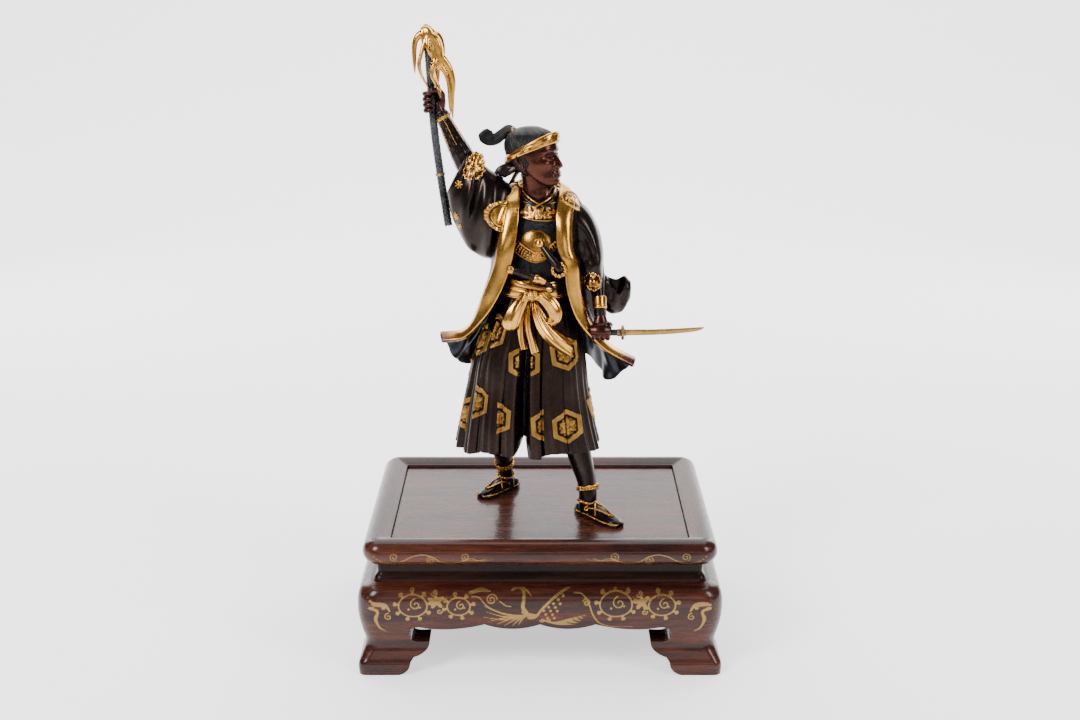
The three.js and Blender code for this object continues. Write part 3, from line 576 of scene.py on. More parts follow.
def newTree(name, inputs):  # a geometry tree with named inputs and the path it follows
    tree = bpy.data.node_groups.new(name, "GeometryNodeTree")
    tree.interface.new_socket("Geometry", in_out="INPUT", socket_type="NodeSocketGeometry")
    tree.interface.new_socket("Geometry", in_out="OUTPUT", socket_type="NodeSocketGeometry")
    sockets = {}
    for label, kind, value in inputs:
        socket = tree.interface.new_socket(label, in_out="INPUT", socket_type=kind)
        if value is not None:
            socket.default_value = value
        sockets[label] = socket.identifier
    given = addNode(tree, "NodeGroupInput").outputs
    return tree, sockets, given, addNode(tree, "GeometryNodeMeshToCurve", {"Mesh": given["Geometry"]})


def endTree(tree, geometry, given):
    real = addNode(tree, "GeometryNodeRealizeInstances", {"Geometry": geometry})
    smooth = addNode(tree, "GeometryNodeSetShadeSmooth", {"Geometry": real})
    addNode(tree, "NodeGroupOutput", {0: addNode(tree, "GeometryNodeSetMaterial",
        {"Geometry": smooth, "Material": given["Finish"]})})


def makeBeadTree():  # round beads set along a path
    tree, sockets, given, path = newTree("beadRow", [("Bead radius", "NodeSocketFloat", 0.0005),
        ("Spacing", "NodeSocketFloat", 0.001), ("Finish", "NodeSocketMaterial", None)])
    points = addNode(tree, "GeometryNodeCurveToPoints", {"Curve": path, "Length": given["Spacing"]}, mode="LENGTH")
    bead = addNode(tree, "GeometryNodeMeshIcoSphere", {"Radius": given["Bead radius"], "Subdivisions": 2})
    row = addNode(tree, "GeometryNodeInstanceOnPoints", {"Points": points, "Instance": bead,
        "Rotation": points.outputs["Rotation"]})
    endTree(tree, row, given)
    return tree, sockets


def makeRopeTree():  # a laid rope of round strands that twists along a path
    tree, sockets, given, path = newTree("laidRope", [("Radius", "NodeSocketFloat", 0.0006),
        ("Twist", "NodeSocketFloat", 900.0), ("Strands", "NodeSocketFloat", 3.0), ("Step", "NodeSocketFloat", 0.0003),
        ("Finish", "NodeSocketMaterial", None)])
    fine = addNode(tree, "GeometryNodeResampleCurve", {"Curve": path, "Length": given["Step"]}, mode="LENGTH")
    run = addNode(tree, "GeometryNodeSplineParameter")
    tilt = maths(tree, "MULTIPLY", run.outputs["Length"], given["Twist"])
    twisted = addNode(tree, "GeometryNodeSetCurveTilt", {"Curve": fine, "Tilt": tilt})
    circle = addNode(tree, "GeometryNodeCurvePrimitiveCircle", {"Resolution": 18, "Radius": given["Radius"]})
    place = addNode(tree, "GeometryNodeInputPosition")
    parts = addNode(tree, "ShaderNodeSeparateXYZ", {"Vector": place})
    angle = maths(tree, "ARCTAN2", parts.outputs["Y"], parts.outputs["X"])
    lobes = maths(tree, "MULTIPLY", angle, given["Strands"])
    wave = maths(tree, "COSINE", lobes)
    size = maths(tree, "MULTIPLY_ADD", wave, 0.22, 1)
    scaled = addNode(tree, "ShaderNodeVectorMath", {0: place, "Scale": size}, operation="SCALE")
    lobed = addNode(tree, "GeometryNodeSetPosition", {"Geometry": circle, "Position": scaled})
    rope = addNode(tree, "GeometryNodeCurveToMesh", {"Curve": twisted, "Profile Curve": lobed, "Fill Caps": True})
    endTree(tree, rope, given)
    return tree, sockets


def makeBraidTree():  # plaited strands round a rod
    tree, sockets, given, path = newTree("braidedRod", [("Radius", "NodeSocketFloat", 0.0021),
        ("Strand", "NodeSocketFloat", 0.0005), ("Row spacing", "NodeSocketFloat", 0.0021),
        ("Strands", "NodeSocketInt", 7), ("Lean", "NodeSocketFloat", 0.62), ("Finish", "NodeSocketMaterial", None)])
    points = addNode(tree, "GeometryNodeCurveToPoints", {"Curve": path, "Length": given["Row spacing"]}, mode="LENGTH")
    bead = addNode(tree, "GeometryNodeMeshIcoSphere", {"Radius": given["Strand"], "Subdivisions": 2})
    strand = addNode(tree, "GeometryNodeTransform", {"Geometry": bead, "Scale": (1, 1.15, 2.7)})
    circle = addNode(tree, "GeometryNodeMeshCircle", {"Vertices": given["Strands"], "Radius": given["Radius"]})
    index = addNode(tree, "GeometryNodeInputIndex")
    share = maths(tree, "DIVIDE", index, given["Strands"])
    heading = maths(tree, "MULTIPLY", share, turn)
    rows = addNode(tree, "GeometryNodeJoinGeometry")
    for way in (1, -1):
        lean = maths(tree, "MULTIPLY", given["Lean"], way)
        facing = addNode(tree, "ShaderNodeCombineXYZ", {"X": lean, "Z": heading})
        ring = addNode(tree, "GeometryNodeInstanceOnPoints", {"Points": circle, "Instance": strand, "Rotation": facing})
        half = maths(tree, "MULTIPLY", given["Row spacing"], 0.25 * way)
        step = addNode(tree, "ShaderNodeCombineXYZ", {"Z": half})
        spun = maths(tree, "DIVIDE", pi * (way > 0), given["Strands"])
        twist = addNode(tree, "ShaderNodeCombineXYZ", {"Z": spun})
        moved = addNode(tree, "GeometryNodeTransform", {"Geometry": ring, "Translation": step, "Rotation": twist})
        feed(tree, rows.inputs[0], moved)
    plait = addNode(tree, "GeometryNodeInstanceOnPoints",
        {"Points": points, "Instance": rows, "Rotation": points.outputs["Rotation"]})
    endTree(tree, plait, given)
    return tree, sockets


beadTree, ropeTree, braidTree = makeBeadTree(), makeRopeTree(), makeBraidTree()


def alongPaths(name, made, paths, finish, closed=False, **values):  # runs a tree along paths given in mm
    tree, sockets = made
    verts, edges = [], []
    for path in paths:
        base = len(verts)
        verts += [tuple(asarray(p, float) * mm) for p in path]
        edges += [(base + k, base + k + 1) for k in range(len(path) - 1)]
        if closed:
            edges.append((base + len(path) - 1, base))
    mesh = bpy.data.meshes.new(name)
    mesh.from_pydata(verts, edges, [])
    piece = placeObject(name, mesh)
    modifier = piece.modifiers.new(name, "NODES")
    modifier.node_group = tree
    modifier[sockets["Finish"]] = finishes[finish]
    for label, value in values.items():
        modifier[sockets[label[0].upper() + label[1:].replace("_", " ")]] = value
    return settle(piece)


def joinPieces(name, objects):  # several meshes as one piece, each keeping its finish
    for other in objects[1:]:
        slots = len(objects[0].data.materials)
        for material in other.data.materials:
            objects[0].data.materials.append(material)
        for polygon in other.data.polygons:
            polygon.material_index += slots
    work = bmesh.new()
    for thing in objects:
        work.from_mesh(thing.data)
    work.to_mesh(objects[0].data)
    work.free()
    for other in objects[1:]:
        bpy.data.objects.remove(other)
    objects[0].name = name
    objects[0].data.name = name
    return objects[0]


# Stand

stand = {
    "width": 238, "depth": 178, "height": 91,
    "frameWidth": 230, "frameDepth": 170, "frameThick": 17, "frameCorner": 12,
    "rail": 17.5, "panelTop": 86.5, "panelThick": 6,
    "waistBottom": 62, "waistInset": 13, "waistWall": 16,
    "baseWall": 22, "legWidth": 47, "apronEdge": 32.7, "gap": 0.3,
}


def roundedLoop(width, depth, radius, z, corner=8, front=40):
    counts = (40, 30, front, 30)  # points along the back, left, front and right
    points = []
    for k in range(4):
        sx, sy = (1 if k in (0, 3) else -1), (1 if k < 2 else -1)
        a = (k + linspace(0, 1, corner + 1)) * pi / 2
        arc = stack([sx * (width / 2 - radius) + radius * cos(a), sy * (depth / 2 - radius) + radius * sin(a)], -1)
        points.append(arc)
        b = (k + 1) % 4
        nx, ny = (1 if b in (0, 3) else -1), (1 if b < 2 else -1)
        a = b * pi / 2
        onward = array([nx * (width / 2 - radius) + radius * cos(a), ny * (depth / 2 - radius) + radius * sin(a)])
        t = arange(1, counts[k])[:, None] / counts[k]
        points.append(arc[-1] + (onward - arc[-1]) * t)
    flat = vstack(points)
    return column_stack([flat, full(len(flat), z)])


def moulding(width, depth, profile, **steps):  # a closed profile of z, inset, corner radius, run round a rectangle
    rings = [roundedLoop(width - 2 * inset, depth - 2 * inset, radius, z, **steps) for z, inset, radius in profile]
    return ringsShape(rings, loop=True)


def paintGold(made, dots, inFront, soft=0.5):  # marks the drawn strokes on the front of a piece
    finder = KDTree(len(dots))
    for k, (x, z, _) in enumerate(dots):
        finder.insert((x, z, 0), k)
    finder.balance()
    values = zeros(len(made.data.vertices))
    for vertex in made.data.vertices:
        x, y, z = vertex.co / mm
        if y < inFront:
            _, k, away = finder.find((x, z, 0))
            values[vertex.index] = min(max(0.5 - (away - dots[k][2]) / (2 * soft), 0), 1)
    pointValues(made, "gold", values)


def stroke(points, start=0.45, end=0.45, middle=None):  # a brush line through points, as dots with half-widths
    points = asarray(points, float)
    length = linalg.norm(np.diff(points, axis=0), axis=1).sum()
    t = linspace(0, 1, max(int(length / 0.2), 4))
    path = readRows(points, t)
    widths = readRows([[start], [middle or max(start, end)], [end]], t)[:, 0]
    return [(x, z, w) for (x, z), w in zip(path, widths)]


def curl(x, z, radius, turns=1.4, start=0, spin=1, width=0.42):  # a scroll that winds in to its eye
    a = linspace(0, 1, 26)
    angle = radians(start) + spin * a * turns * turn
    r = radius * (1 - 0.82 * a)
    return stroke(column_stack([x + r * cos(angle), z + r * sin(angle)]), width, width * 0.9)


def blob(x, z, size):
    return [(x, z, size)]


def knobbedRing(x, z, radius, knobs):  # a round flower scroll with knobs on short stems
    dots = stroke([(x + radius * cos(a), z + 0.8 * radius * sin(a)) for a in linspace(0, turn, 25)], 0.5, 0.5)
    for k in range(knobs):
        a = turn * (k + 0.3) / knobs
        c, s = cos(a), 0.82 * sin(a)
        dots += stroke([(x + radius * c, z + radius * s), (x + (radius + 1.6) * c, z + (radius + 1.6) * s)], 0.5, 0.9)
        dots += blob(x + (radius + 2.3) * c, z + (radius + 2.3) * s, 1.5)
    dots += curl(x + 0.2 * radius, z + 0.1 * radius, 0.42 * radius, 1.2, 100)
    dots += blob(x - 0.3 * radius, z - 0.25 * radius, 0.8) + blob(x + 0.5 * radius, z - 0.1 * radius, 0.7)
    return dots


def blossom(x, z, size):
    dots = blob(x, z, 0.3 * size)
    for k in range(5):
        a = turn * k / 5 + 0.4
        dots += stroke([(x + 0.5 * size * cos(a), z + 0.5 * size * sin(a)), (x + size * cos(a), z + size * sin(a))],
            0.3 * size, 0.22 * size)
    return dots


def flyingBird():  # a long-tailed bird with its wing raised, over the middle of the apron
    dots = stroke([(-16, 60.2), (-13, 60.4), (-10.6, 58.6), (-10.4, 54), (-11, 49), (-8.6, 44.6)], 0.4, 1.4, 0.9)
    dots += stroke([(-18.4, 59.2), (-16, 60.2)], 0.25, 0.6)  # beak
    for lean in (0, 1, 2):
        plume = [(-14, 60.6), (-12 + 1.5 * lean, 61 - 0.7 * lean), (-8.6 + 1.6 * lean, 59.4 - 1.7 * lean)]
        dots += stroke(plume, 0.5, 0.25)
    dots += stroke([(-11, 45.4), (-8, 43), (-4, 42.4), (-1, 43.6)], 1, 0.7, 2.2)  # body
    tails = [(-36, 49.6), (-35, 45.8), (-37.4, 42), (-33, 38.6), (-28, 36.4), (-23, 35.4), (-18, 35.2), (-14, 36)]
    for x, z in tails:
        bend = 2.4 if z > 40 else -1
        dots += stroke([(-9, 43), ((-9 + x) / 2, (43 + z) / 2 - bend), (x, z)], 0.5, 0.22, 0.5)
    dots += stroke([(-2, 43), (3, 49.4), (10, 56), (17, 60), (20, 60.8)], 0.8, 0.3, 0.85)  # wing's front edge
    for row in range(4):
        for k in range(5 - row):
            dots += blob(2.5 + 3.1 * k + 1.2 * row, 46.4 + 2.5 * k - 2.6 * row, 0.95)
    for k in range(6):
        feather = [(2 + 1.4 * k, 39.4 - 0.5 * k), (12 + k, 36.4 + 0.7 * k), (24 + 1.2 * k, 36.6 + 1.4 * k)]
        dots += stroke(feather, 0.45, 0.2)
    for x in (1.5, 5.5):
        dots += curl(x, 39.6, 1.7, 1.1, 180)
    return dots


def apronDrawing():
    dots = flyingBird()
    for x, z, radius, knobs in ((-82, 49.6, 9.2, 9), (-52.5, 49.2, 7.4, 8), (49, 50.6, 10.4, 9), (78.7, 50, 8.6, 8)):
        dots += knobbedRing(x, z, radius, knobs)
    for x, z in ((-66.9, 53), (65.4, 52.4)):
        dots += blossom(x, z, 4.6) + curl(x - 1, z + 5, 2.2, 1.1, 200) + curl(x + 2, z - 7, 2, 1.1, 20, -1)
    dots += curl(-31.2, 53.9, 3.6, 1.7, 0) + curl(30, 52, 2.6, 1.5, 160, -1)
    dots += stroke([(-44, 56), (-39, 55), (-34, 49.6), (-26, 45.4), (-18, 43.6)], 0.4, 0.35)
    dots += stroke([(-45, 58), (-38, 59.4), (-32, 58.6)], 0.9, 0.3)
    dots += stroke([(-26, 53), (-22, 50), (-18.6, 49.4)], 0.4, 0.3)
    dots += stroke([(22, 58), (27, 57.4), (31, 52.6), (34, 44), (38, 38), (46, 34.8), (60, 34.6)], 0.35, 0.25, 0.5)
    for s, x in ((-1, -103), (1, 103)):
        dots += stroke([(x + s * 8, 52 - 2.5 * s), (x + s * 4, 51), (x - s * 3, 50), (x - s * 6, 46)], 0.4, 0.5, 1.5)
        leaf = [(x + s * 7.4, 48), (x + s * 2, 46), (x + s * 3, 40), (x + s * 1, 34), (x - s * 3, 31)]
        dots += stroke(leaf, 0.9, 0.3)
        for k in range(3):
            dots += blob(x + s * (6 - 4 * k), 48.4 + 2.4 * (k % 2), 1.3)
        dots += curl(x - s * 5, 42, 2.6, 1.2, 90)
    return dots


def frameDrawing():  # a thin running scroll at each end of the frame's front
    dots = []
    for s in (-1, 1):
        wave = [(-107, 82.4), (-102, 78.6), (-96, 77.2), (-89, 78.6), (-82, 82.4), (-75, 83.6), (-69, 82), (-64, 78.6),
            (-57, 77.2), (-51, 78.6), (-46, 79.6), (-40, 79.4), (-34, 81)]
        dots += stroke([(-s * x, z) for x, z in wave], 0.3, 0.2, 0.34)
        for x, z, way in ((-93.6, 82, 1), (-70, 79.4, -1), (-47.6, 82.2, 1)):
            dots += curl(-s * x, z, 3, 1.5, -60 if way > 0 else 60, way * s, 0.28)
        dots += stroke([(-s * x, z) for x, z in ((-50, 79.4), (-44, 81), (-38, 79.2), (-30, 80.4))], 0.25, 0.15)
    return dots


def makeFrameRails():
    s = stand
    nose = s["frameThick"] / 2
    middle = s["height"] - nose
    inner = 2
    profile = [(s["height"] - s["frameThick"], s["rail"] + 6, inner),
        (s["panelTop"] - s["panelThick"], s["rail"] + 6, inner), (s["panelTop"] - s["panelThick"], s["rail"], inner),
        (88, s["rail"], inner), (88.25, s["rail"] - 0.15, inner), (88.4, s["rail"] - 0.5, inner),
        (88.5, s["rail"] - 1.6, inner), (88.9, s["rail"] - 2, inner), (89.5, 13.8, inner), (90.2, 12, inner),
        (90.7, 10.8, inner), (90.95, 9.8, 2.2)]
    for a in linspace(pi / 2, -pi / 2, 56):
        inset = nose * (1 - cos(a))
        profile.append((middle + nose * sin(a), inset, max(s["frameCorner"] - inset, 2)))
    made = meshObject("standFrame", [moulding(s["frameWidth"], s["frameDepth"], profile, front=430, corner=10)],
        "rosewoodRails")
    sharpen(made, 40)
    paintGold(made, frameDrawing(), -76)
    keep(made, "rosewood", "stand_frame")


def makePanel():
    s = stand
    width, depth = s["frameWidth"] - 2 * (s["rail"] + s["gap"]), s["frameDepth"] - 2 * (s["rail"] + s["gap"])
    low, high = s["panelTop"] - s["panelThick"], s["panelTop"]
    levels = [(low, 0, 2), (high - 0.5, 0, 2), (high - 0.15, 0.12, 2), (high, 0.5, 2)]
    rings = [roundedLoop(width - 2 * i, depth - 2 * i, r, z) for z, i, r in levels]
    # its finish is the wood painted lighter, as a painted sheen
    made = meshObject("standPanel", [ringsShape(rings)], "rosewoodPanelSheen")
    made.data.shade_flat()
    keep(made, "rosewood", "stand_panel")


def makeWaist():
    s = stand
    width, depth = s["width"] - 2 * s["waistInset"], s["depth"] - 2 * s["waistInset"]
    low, high = s["waistBottom"], s["height"] - s["frameThick"]
    outer = readRows([(low, -2.5, 5), (low + 2.5, -1.5, 4), (low + 5, 0.5, 3), (low + 6.2, 0.3, 3), (high, 0, 3)],
        linspace(0, 1, 22))
    profile = [tuple(row) for row in outer] + [(high, s["waistWall"], 2), (low, s["waistWall"], 2)]
    made = meshObject("standWaist", [moulding(width, depth, profile)], "darkWood")
    sharpen(made, 40)
    keep(made, "dark_wood", "stand_waist")


def bend(a, b, c, steps):  # points of a curve from a to c, pulled towards b
    t = linspace(0, 1, steps + 1)[:, None]
    a, b, c = (asarray(p, float) for p in (a, b, c))
    return ((1 - t) ** 2 * a + 2 * t * (1 - t) * b + t * t * c).tolist()


def openingOutline(half, lobes):  # the opening under an apron, between two scrolled legs
    edge = stand["apronEdge"]
    leg = half - stand["legWidth"]

    def side(s):
        at = lambda x, z: (s * (leg + x), z)
        points = [at(20.5, -2)]
        points += bend(at(20.5, 0), at(13, 2), at(12.6, 9), 8)
        points += bend(at(10.5, 12), at(0, 15), at(0, 22.4), 12)
        points += bend(at(6, 22.2), at(13.4, 22.2), at(13.4, 28.2), 8)
        points += bend(at(13.4, 28.2), at(13.4, edge + 1.6), at(6, edge + 1.2), 8)[1:]
        return points

    pitch = 2 * leg / lobes
    scallops = []
    for k in range(lobes):
        start = -leg + k * pitch
        cusp = lambda n: edge + (0 if n in (0, lobes) else 3.6)
        dip = 1.8 if k in (0, lobes - 1) else 3.6
        scallops += bend((start, cusp(k)), (start + pitch / 2, edge - dip), (start + pitch, cusp(k + 1)), 14)[:-1]
    return side(-1) + scallops + side(1)[::-1]


def prism(outline, length, alongX=False):
    verts = []
    for end in (-length / 2, length / 2):
        verts += [(end, x, z) if alongX else (x, end, z) for x, z in outline]
    n = len(outline)
    faces = [[j, (j + 1) % n, n + (j + 1) % n, n + j] for j in range(n)]
    faces += [list(range(n))[::-1], list(range(n, 2 * n))]
    return verts, faces


def makeBase():
    s = stand
    face = [(0, 0.4, 5), (7, 0.2, 5), (12, 2.2, 6), (20, 4.6, 9), (29, 2.6, 10), (38, 0.6, 12), (47, 0, 13),
        (54, 0.7, 13), (59, 3.4, 12), (s["waistBottom"] - s["gap"], 8.5, 8)]
    outer = readRows(face, concatenate([linspace(0, 0.44, 20), linspace(0.45, 1, 60)]))
    profile = [tuple(row) for row in outer]
    profile += [(s["waistBottom"] - s["gap"], s["baseWall"], 6), (0, s["baseWall"], 6)]
    made = meshObject("standBase", [moulding(s["width"], s["depth"], profile, front=430, corner=10)], "rosewood")
    cutters = [
        meshObject("frontOpening", [prism(openingOutline(s["width"] / 2, 4), s["depth"] + 10)], None),
        meshObject("sideOpening", [prism(openingOutline(s["depth"] / 2, 2), s["width"] + 10, alongX=True)], None),
    ]
    cutAway(made, *cutters)
    sharpen(made, 32)
    paintGold(made, apronDrawing(), -83)
    keep(made, "rosewood", "stand_base")


makeFrameRails()
makePanel()
makeWaist()
makeBase()
print("stage: stand")


# Hakama

hakamaCut = {
    "pleatDepth": 0.085, "creaseDepth": 0.01, "legFold": 0.52, "foldWidth": 0.095,
    "kneeSwell": 0.07, "hemStep": 1.5, "foldAt": -95, "notchMiddle": -10.4, "notchTop": 141.6,
}
hakamaRows = [  # z, x, y, half-width, half-depth
    [132.5, -8.4, -8, 48, 28], [150, -8.8, -7.4, 44.6, 27], [172, -8.4, -6.4, 40.6, 25],
    [195, -7, -5.4, 37, 23.4], [218, -4.5, -5, 30.5, 21], [240, -2.5, -4.5, 22.5, 16.5],
]
pleatEdges = [(-202, -9), (-183.9, -8), (-160, -7), (-137.9, -6), (-113, -5), (-96, -4), (-75.4, -3), (-52.9, -2),
    (-30.4, -1), (-7.9, 0), (14.6, 1), (37.1, 2), (59.6, 3), (82.1, 4), (104.6, 5), (127.1, 6), (158, 7)]


def near(angle, at, width):  # a smooth hump round one direction
    off = arctan2(sin(angle - at), cos(angle - at)) / width
    return exp(-off * off)


def pleatPhase(angle):  # how far across its pleat each direction lies
    degrees = (np.degrees(angle) + 202) % 360 - 202
    places, counts = zip(*pleatEdges)
    return interp(degrees, places, counts) % 1


def hakamaShape(t, angle):
    c = hakamaCut
    low = (1 - t) ** 0.75
    phase = pleatPhase(angle)
    saw = interp(phase, [0, 0.86, 0.885, 0.93, 1], [-0.5, 0.5, -0.25, -1.25, -0.5])
    puff = sin(pi * clip(phase / 0.84, 0, 1)) ** 0.7 - 0.5
    pleat = c["pleatDepth"] * low * saw + 0.022 * low * puff
    crease = c["creaseDepth"] * low * sin(phase * 3 * turn + 5 * t) * (phase < 0.84)
    gather = 0.012 * t ** 3 * cos(angle * 44)
    fold = near(angle, radians(c["foldAt"]), c["foldWidth"]) + near(angle, pi / 2, c["foldWidth"])
    knee = c["kneeSwell"] * near(angle, radians(-128), 0.33) * exp(-((t - 0.66) / 0.2) ** 2)
    knee = knee + 0.035 * near(angle, radians(-50), 0.35) * exp(-((t - 0.55) / 0.22) ** 2)
    return 1 + pleat + crease + gather + knee - c["legFold"] * minimum(1, 1.5 * (1 - t)) * fold


def makeHakama():
    c = hakamaCut
    outer = levelRings(hakamaRows, 84, 384, shape=hakamaShape)
    t = linspace(0, 1, 85)[:, None]
    angle = angles(384)
    step = (np.floor(interp((np.degrees(angle) + 202) % 360 - 202, *zip(*pleatEdges))) % 3) - 1
    soft = sin(pleatPhase(angle) * pi) ** 0.5
    outer[..., 2] -= (1 - t) ** 3 * (c["hemStep"] * step * soft + 0.5)
    middle = array([-8.4, -8, 0])
    lip = lambda size, lift: (outer[0] - middle) * [size, size, 1] + middle + [0, 0, lift]
    rings = [lip(0.8, 9), lip(0.9, 8), lip(0.945, 1), lip(0.965, 0.1), lip(0.985, -0.2), *outer]
    made = meshObject("hakama", [ringsShape(rings)], "hakamaBronze")
    m, top, hem = c["notchMiddle"], c["notchTop"], hakamaRows[0][0]
    arch = [(m - 9, hem - 6), (m + 2.4, hem - 6)] + bend((m + 2.4, hem - 3), (m + 1.6, hem + 3), (m + 0.5, top), 10)
    arch += bend((m - 0.5, top), (m - 3.2, hem + 2.4), (m - 9, hem - 3), 10)
    notch = meshObject("hemNotch", [prism(arch, 140)], None)
    cutAway(made, notch, tangled=True)
    sharpen(made, 50)
    return keep(made)


hakama = makeHakama()
print("stage: hakama")


# Coat, open at the front, with a gilt band along both edges and round the nape

coatCut = {
    "thick": 1.8, "rows": 96, "columns": 220, "backFold": 3.2, "sideFold": 1.3,
    "bandThick": 1.8, "bandProud": 1,
}
rightBand = {
    "free": [[-13.2, -4, 306.5], [-14.2, -14, 297.5], [-14.8, -19, 287.2], [-16.9, -22, 273.5], [-20.4, -23.5, 257.5],
        [-27.5, -25, 239.5], [-37.5, -23, 224], [-50.5, -17, 210], [-65.4, -13, 206.4]],
    "sewn": [[-19.4, 0.6, 305.6], [-22.4, -9, 299], [-24.4, -16, 287.5], [-27, -20, 272.6], [-29.8, -20.4, 257],
        [-36.6, -19, 239.2], [-43.2, -14.5, 221.8], [-51.4, -8, 211.6], [-65.8, -3, 208]],
}
leftBand = {
    "free": [[13, -5, 304.6], [11.9, -14, 297.3], [11.1, -20, 287.4], [12.4, -23.6, 271], [16.4, -25.6, 258],
        [19, -27, 240], [26.6, -26, 221.6], [42.9, -19, 202.4], [62.6, -13, 189.2]],
    "sewn": [[19, -1, 304], [21.6, -10, 299], [20.4, -18, 287.4], [20.9, -22, 271], [24.3, -22.8, 259],
        [26.7, -22, 240], [33, -17.4, 219.4], [46, -8.6, 202.4], [63, -3, 190.4]],
}
coatBack = [  # right side x, y, z; left side x, y, z; half the breadth of the back, its y and z
    [-19, 6, 305, 17.6, 5, 302.6, 10.6, 12.6, 304], [-28, 5, 301, 26.6, 4, 296, 16.6, 17.6, 298],
    [-32, 4, 290, 32, 3, 286, 22, 21.6, 287], [-32.6, 3, 271, 32, 3, 270, 23, 23, 272],
    [-31.6, 3, 254, 32, 3, 254, 23, 23.4, 256], [-35.4, 3, 236, 34, 3, 238, 24, 25, 238],
    [-42, 5, 215, 38.6, 5, 216, 27, 28, 218], [-49.6, 6.4, 199, 44.6, 7, 194, 30, 31, 200],
    [-53.4, 7, 185, 48, 7, 173.6, 32, 33, 185],
]
napeBand = {  # the band behind the neck, from the right front edge to the left one
    "free": [[-14.4, 3, 308.6], [-10.2, 9.4, 310], [0, 12, 310.4], [9.6, 9.2, 309.4], [14, 2.6, 307.2]],
    "sewn": [[-20.2, 6, 306], [-13.4, 14, 305.2], [0, 17.2, 304.8], [13, 13.8, 304.4], [19.4, 5, 304]],
}


def coatBase(down, across):  # the coat's outer face, from the right front edge round the back to the left one
    back, rf, rs, lf, ls = (readRows(rows, down) for rows in (coatBack, rightBand["free"], rightBand["sewn"],
        leftBand["free"], leftBand["sewn"]))
    grid = []
    for i, d in enumerate(down):
        rx, ry, rz, lx, ly, lz, half, backY, backZ = back[i]
        line = [rf[i], rs[i], [rx, ry, rz], [-half, backY * 0.9, backZ], [0, backY, backZ], [half, backY * 0.9, backZ],
            [lx, ly, lz], ls[i], lf[i]]
        row = readRows(line, across)
        middle = exp(-(((across - 0.5) / 0.2) ** 4))
        row[:, 1] += coatCut["backFold"] * d * middle * cos(turn * 4.5 * (across - 0.5 + 0.06 * d))
        grid.append(row)
    return array(grid)


def makeCoat():
    c = coatCut
    down, across = linspace(0, 1, c["rows"] + 1), linspace(0.012, 0.988, c["columns"] + 1)
    grid = coatBase(down, across)
    normal = gridNormal(grid)
    d, a = down[:, None], across
    side = exp(-(((np.abs(a - 0.5) - 0.27) / 0.085) ** 4))  # between the bands and the back
    waves = cos(turn * (11 * a + 1.2 * d + 0.25 * sin(7 * d))) + 0.4 * cos(turn * (19 * a - 1.5 * d))
    soft = 0.6 * sin(9 * d + 14 * a) * exp(-((a - 0.5) / 0.26) ** 4)
    swing = c["sideFold"] * side * (0.3 + d) * waves + soft * sin(pi * d)
    grid = grid - normal * clip(swing, -2.2, 2)[..., None]
    made = meshObject("coat", [clothShape(grid, c["thick"])], "coatBronze")
    made.data.materials.append(finishes["liningBronze"])
    sheet = (grid.shape[0] - 1) * (grid.shape[1] - 1)
    for polygon in made.data.polygons[sheet:2 * sheet]:
        polygon.material_index = 1
    return keep(made)


def makeBand():
    # one long strip: up the right edge, round the nape and down the left edge
    c = coatCut
    w = array([-0.02, 0, 0.02, 0.05, *linspace(0.1, 0.9, 14), 0.95, 0.98, 1, 1.02])
    down = linspace(0, 1, 190) ** 0.9
    across = maximum(w, 0) / 8
    right, left = coatBase(down[::-1], across), coatBase(down, 1 - across)
    t = linspace(0, 1, 64)[1:-1]
    middle = []
    for k in range(len(w)):
        share = clip(w[k], 0, 1)
        behind = [array(f) * (1 - share) + array(s) * share for f, s in zip(napeBand["free"], napeBand["sewn"])]
        middle.append(readRows([right[-1][k], *behind, left[0][k]], t))
    grid = concatenate([right, array(middle).transpose(1, 0, 2), left])
    normal = gridNormal(grid)
    for way in (1, -1):  # the columns at the rim repeat, so they take their neighbour's normal
        normal[:, 0 if way > 0 else -1] = normal[:, 2 * way]
    run = linspace(0, 1, len(grid))
    crown = 0.45 * sin(pi * clip(w, 0, 1)) ** 0.6
    drape = 0.5 * sin(29 * run)[:, None] * sin(pi * clip(w, 0, 1))
    kink = 0.35 * exp(-((run - 0.745) / 0.014) ** 2) + 0.2 * exp(-((run - 0.775) / 0.014) ** 2)
    top = grid - normal * (c["bandProud"] - crown - drape * 0.6 - kink[:, None])[..., None]
    made = meshObject("lapelBand", [clothShape(top, c["bandThick"])], "bandGilt")
    share = np.tile(np.repeat(np.abs(run - 0.5) * 2, len(w)), 2)
    pointValues(made, "copper", clip((share - 0.9) / 0.06, 0, 1))
    return keep(made, "gilt")


coat = makeCoat()
lapelBand = makeBand()
print("stage: coat")


# Armoured chest under the coat

chest = {"cuirassTop": 287.6, "plateProud": 0.9, "collarThick": 1.5, "collarShare": 0.46}
trunkRows = [
    [226, -3, -1, 22, 18], [240, -2.6, 1.6, 22.5, 20.6], [256, -1.6, 1.4, 24, 21.2],
    [272, -0.5, 1.2, 25, 21], [286, 0, 2.4, 24, 18.6], [295, 0, 2.6, 19, 15.4], [302, -0.5, 2, 13, 12],
]


def shareAt(rows, z):  # how far through a table of level rows a height lies
    t = linspace(0, 1, 400)
    return float(interp(z, readRows(rows, t)[:, 0], t))


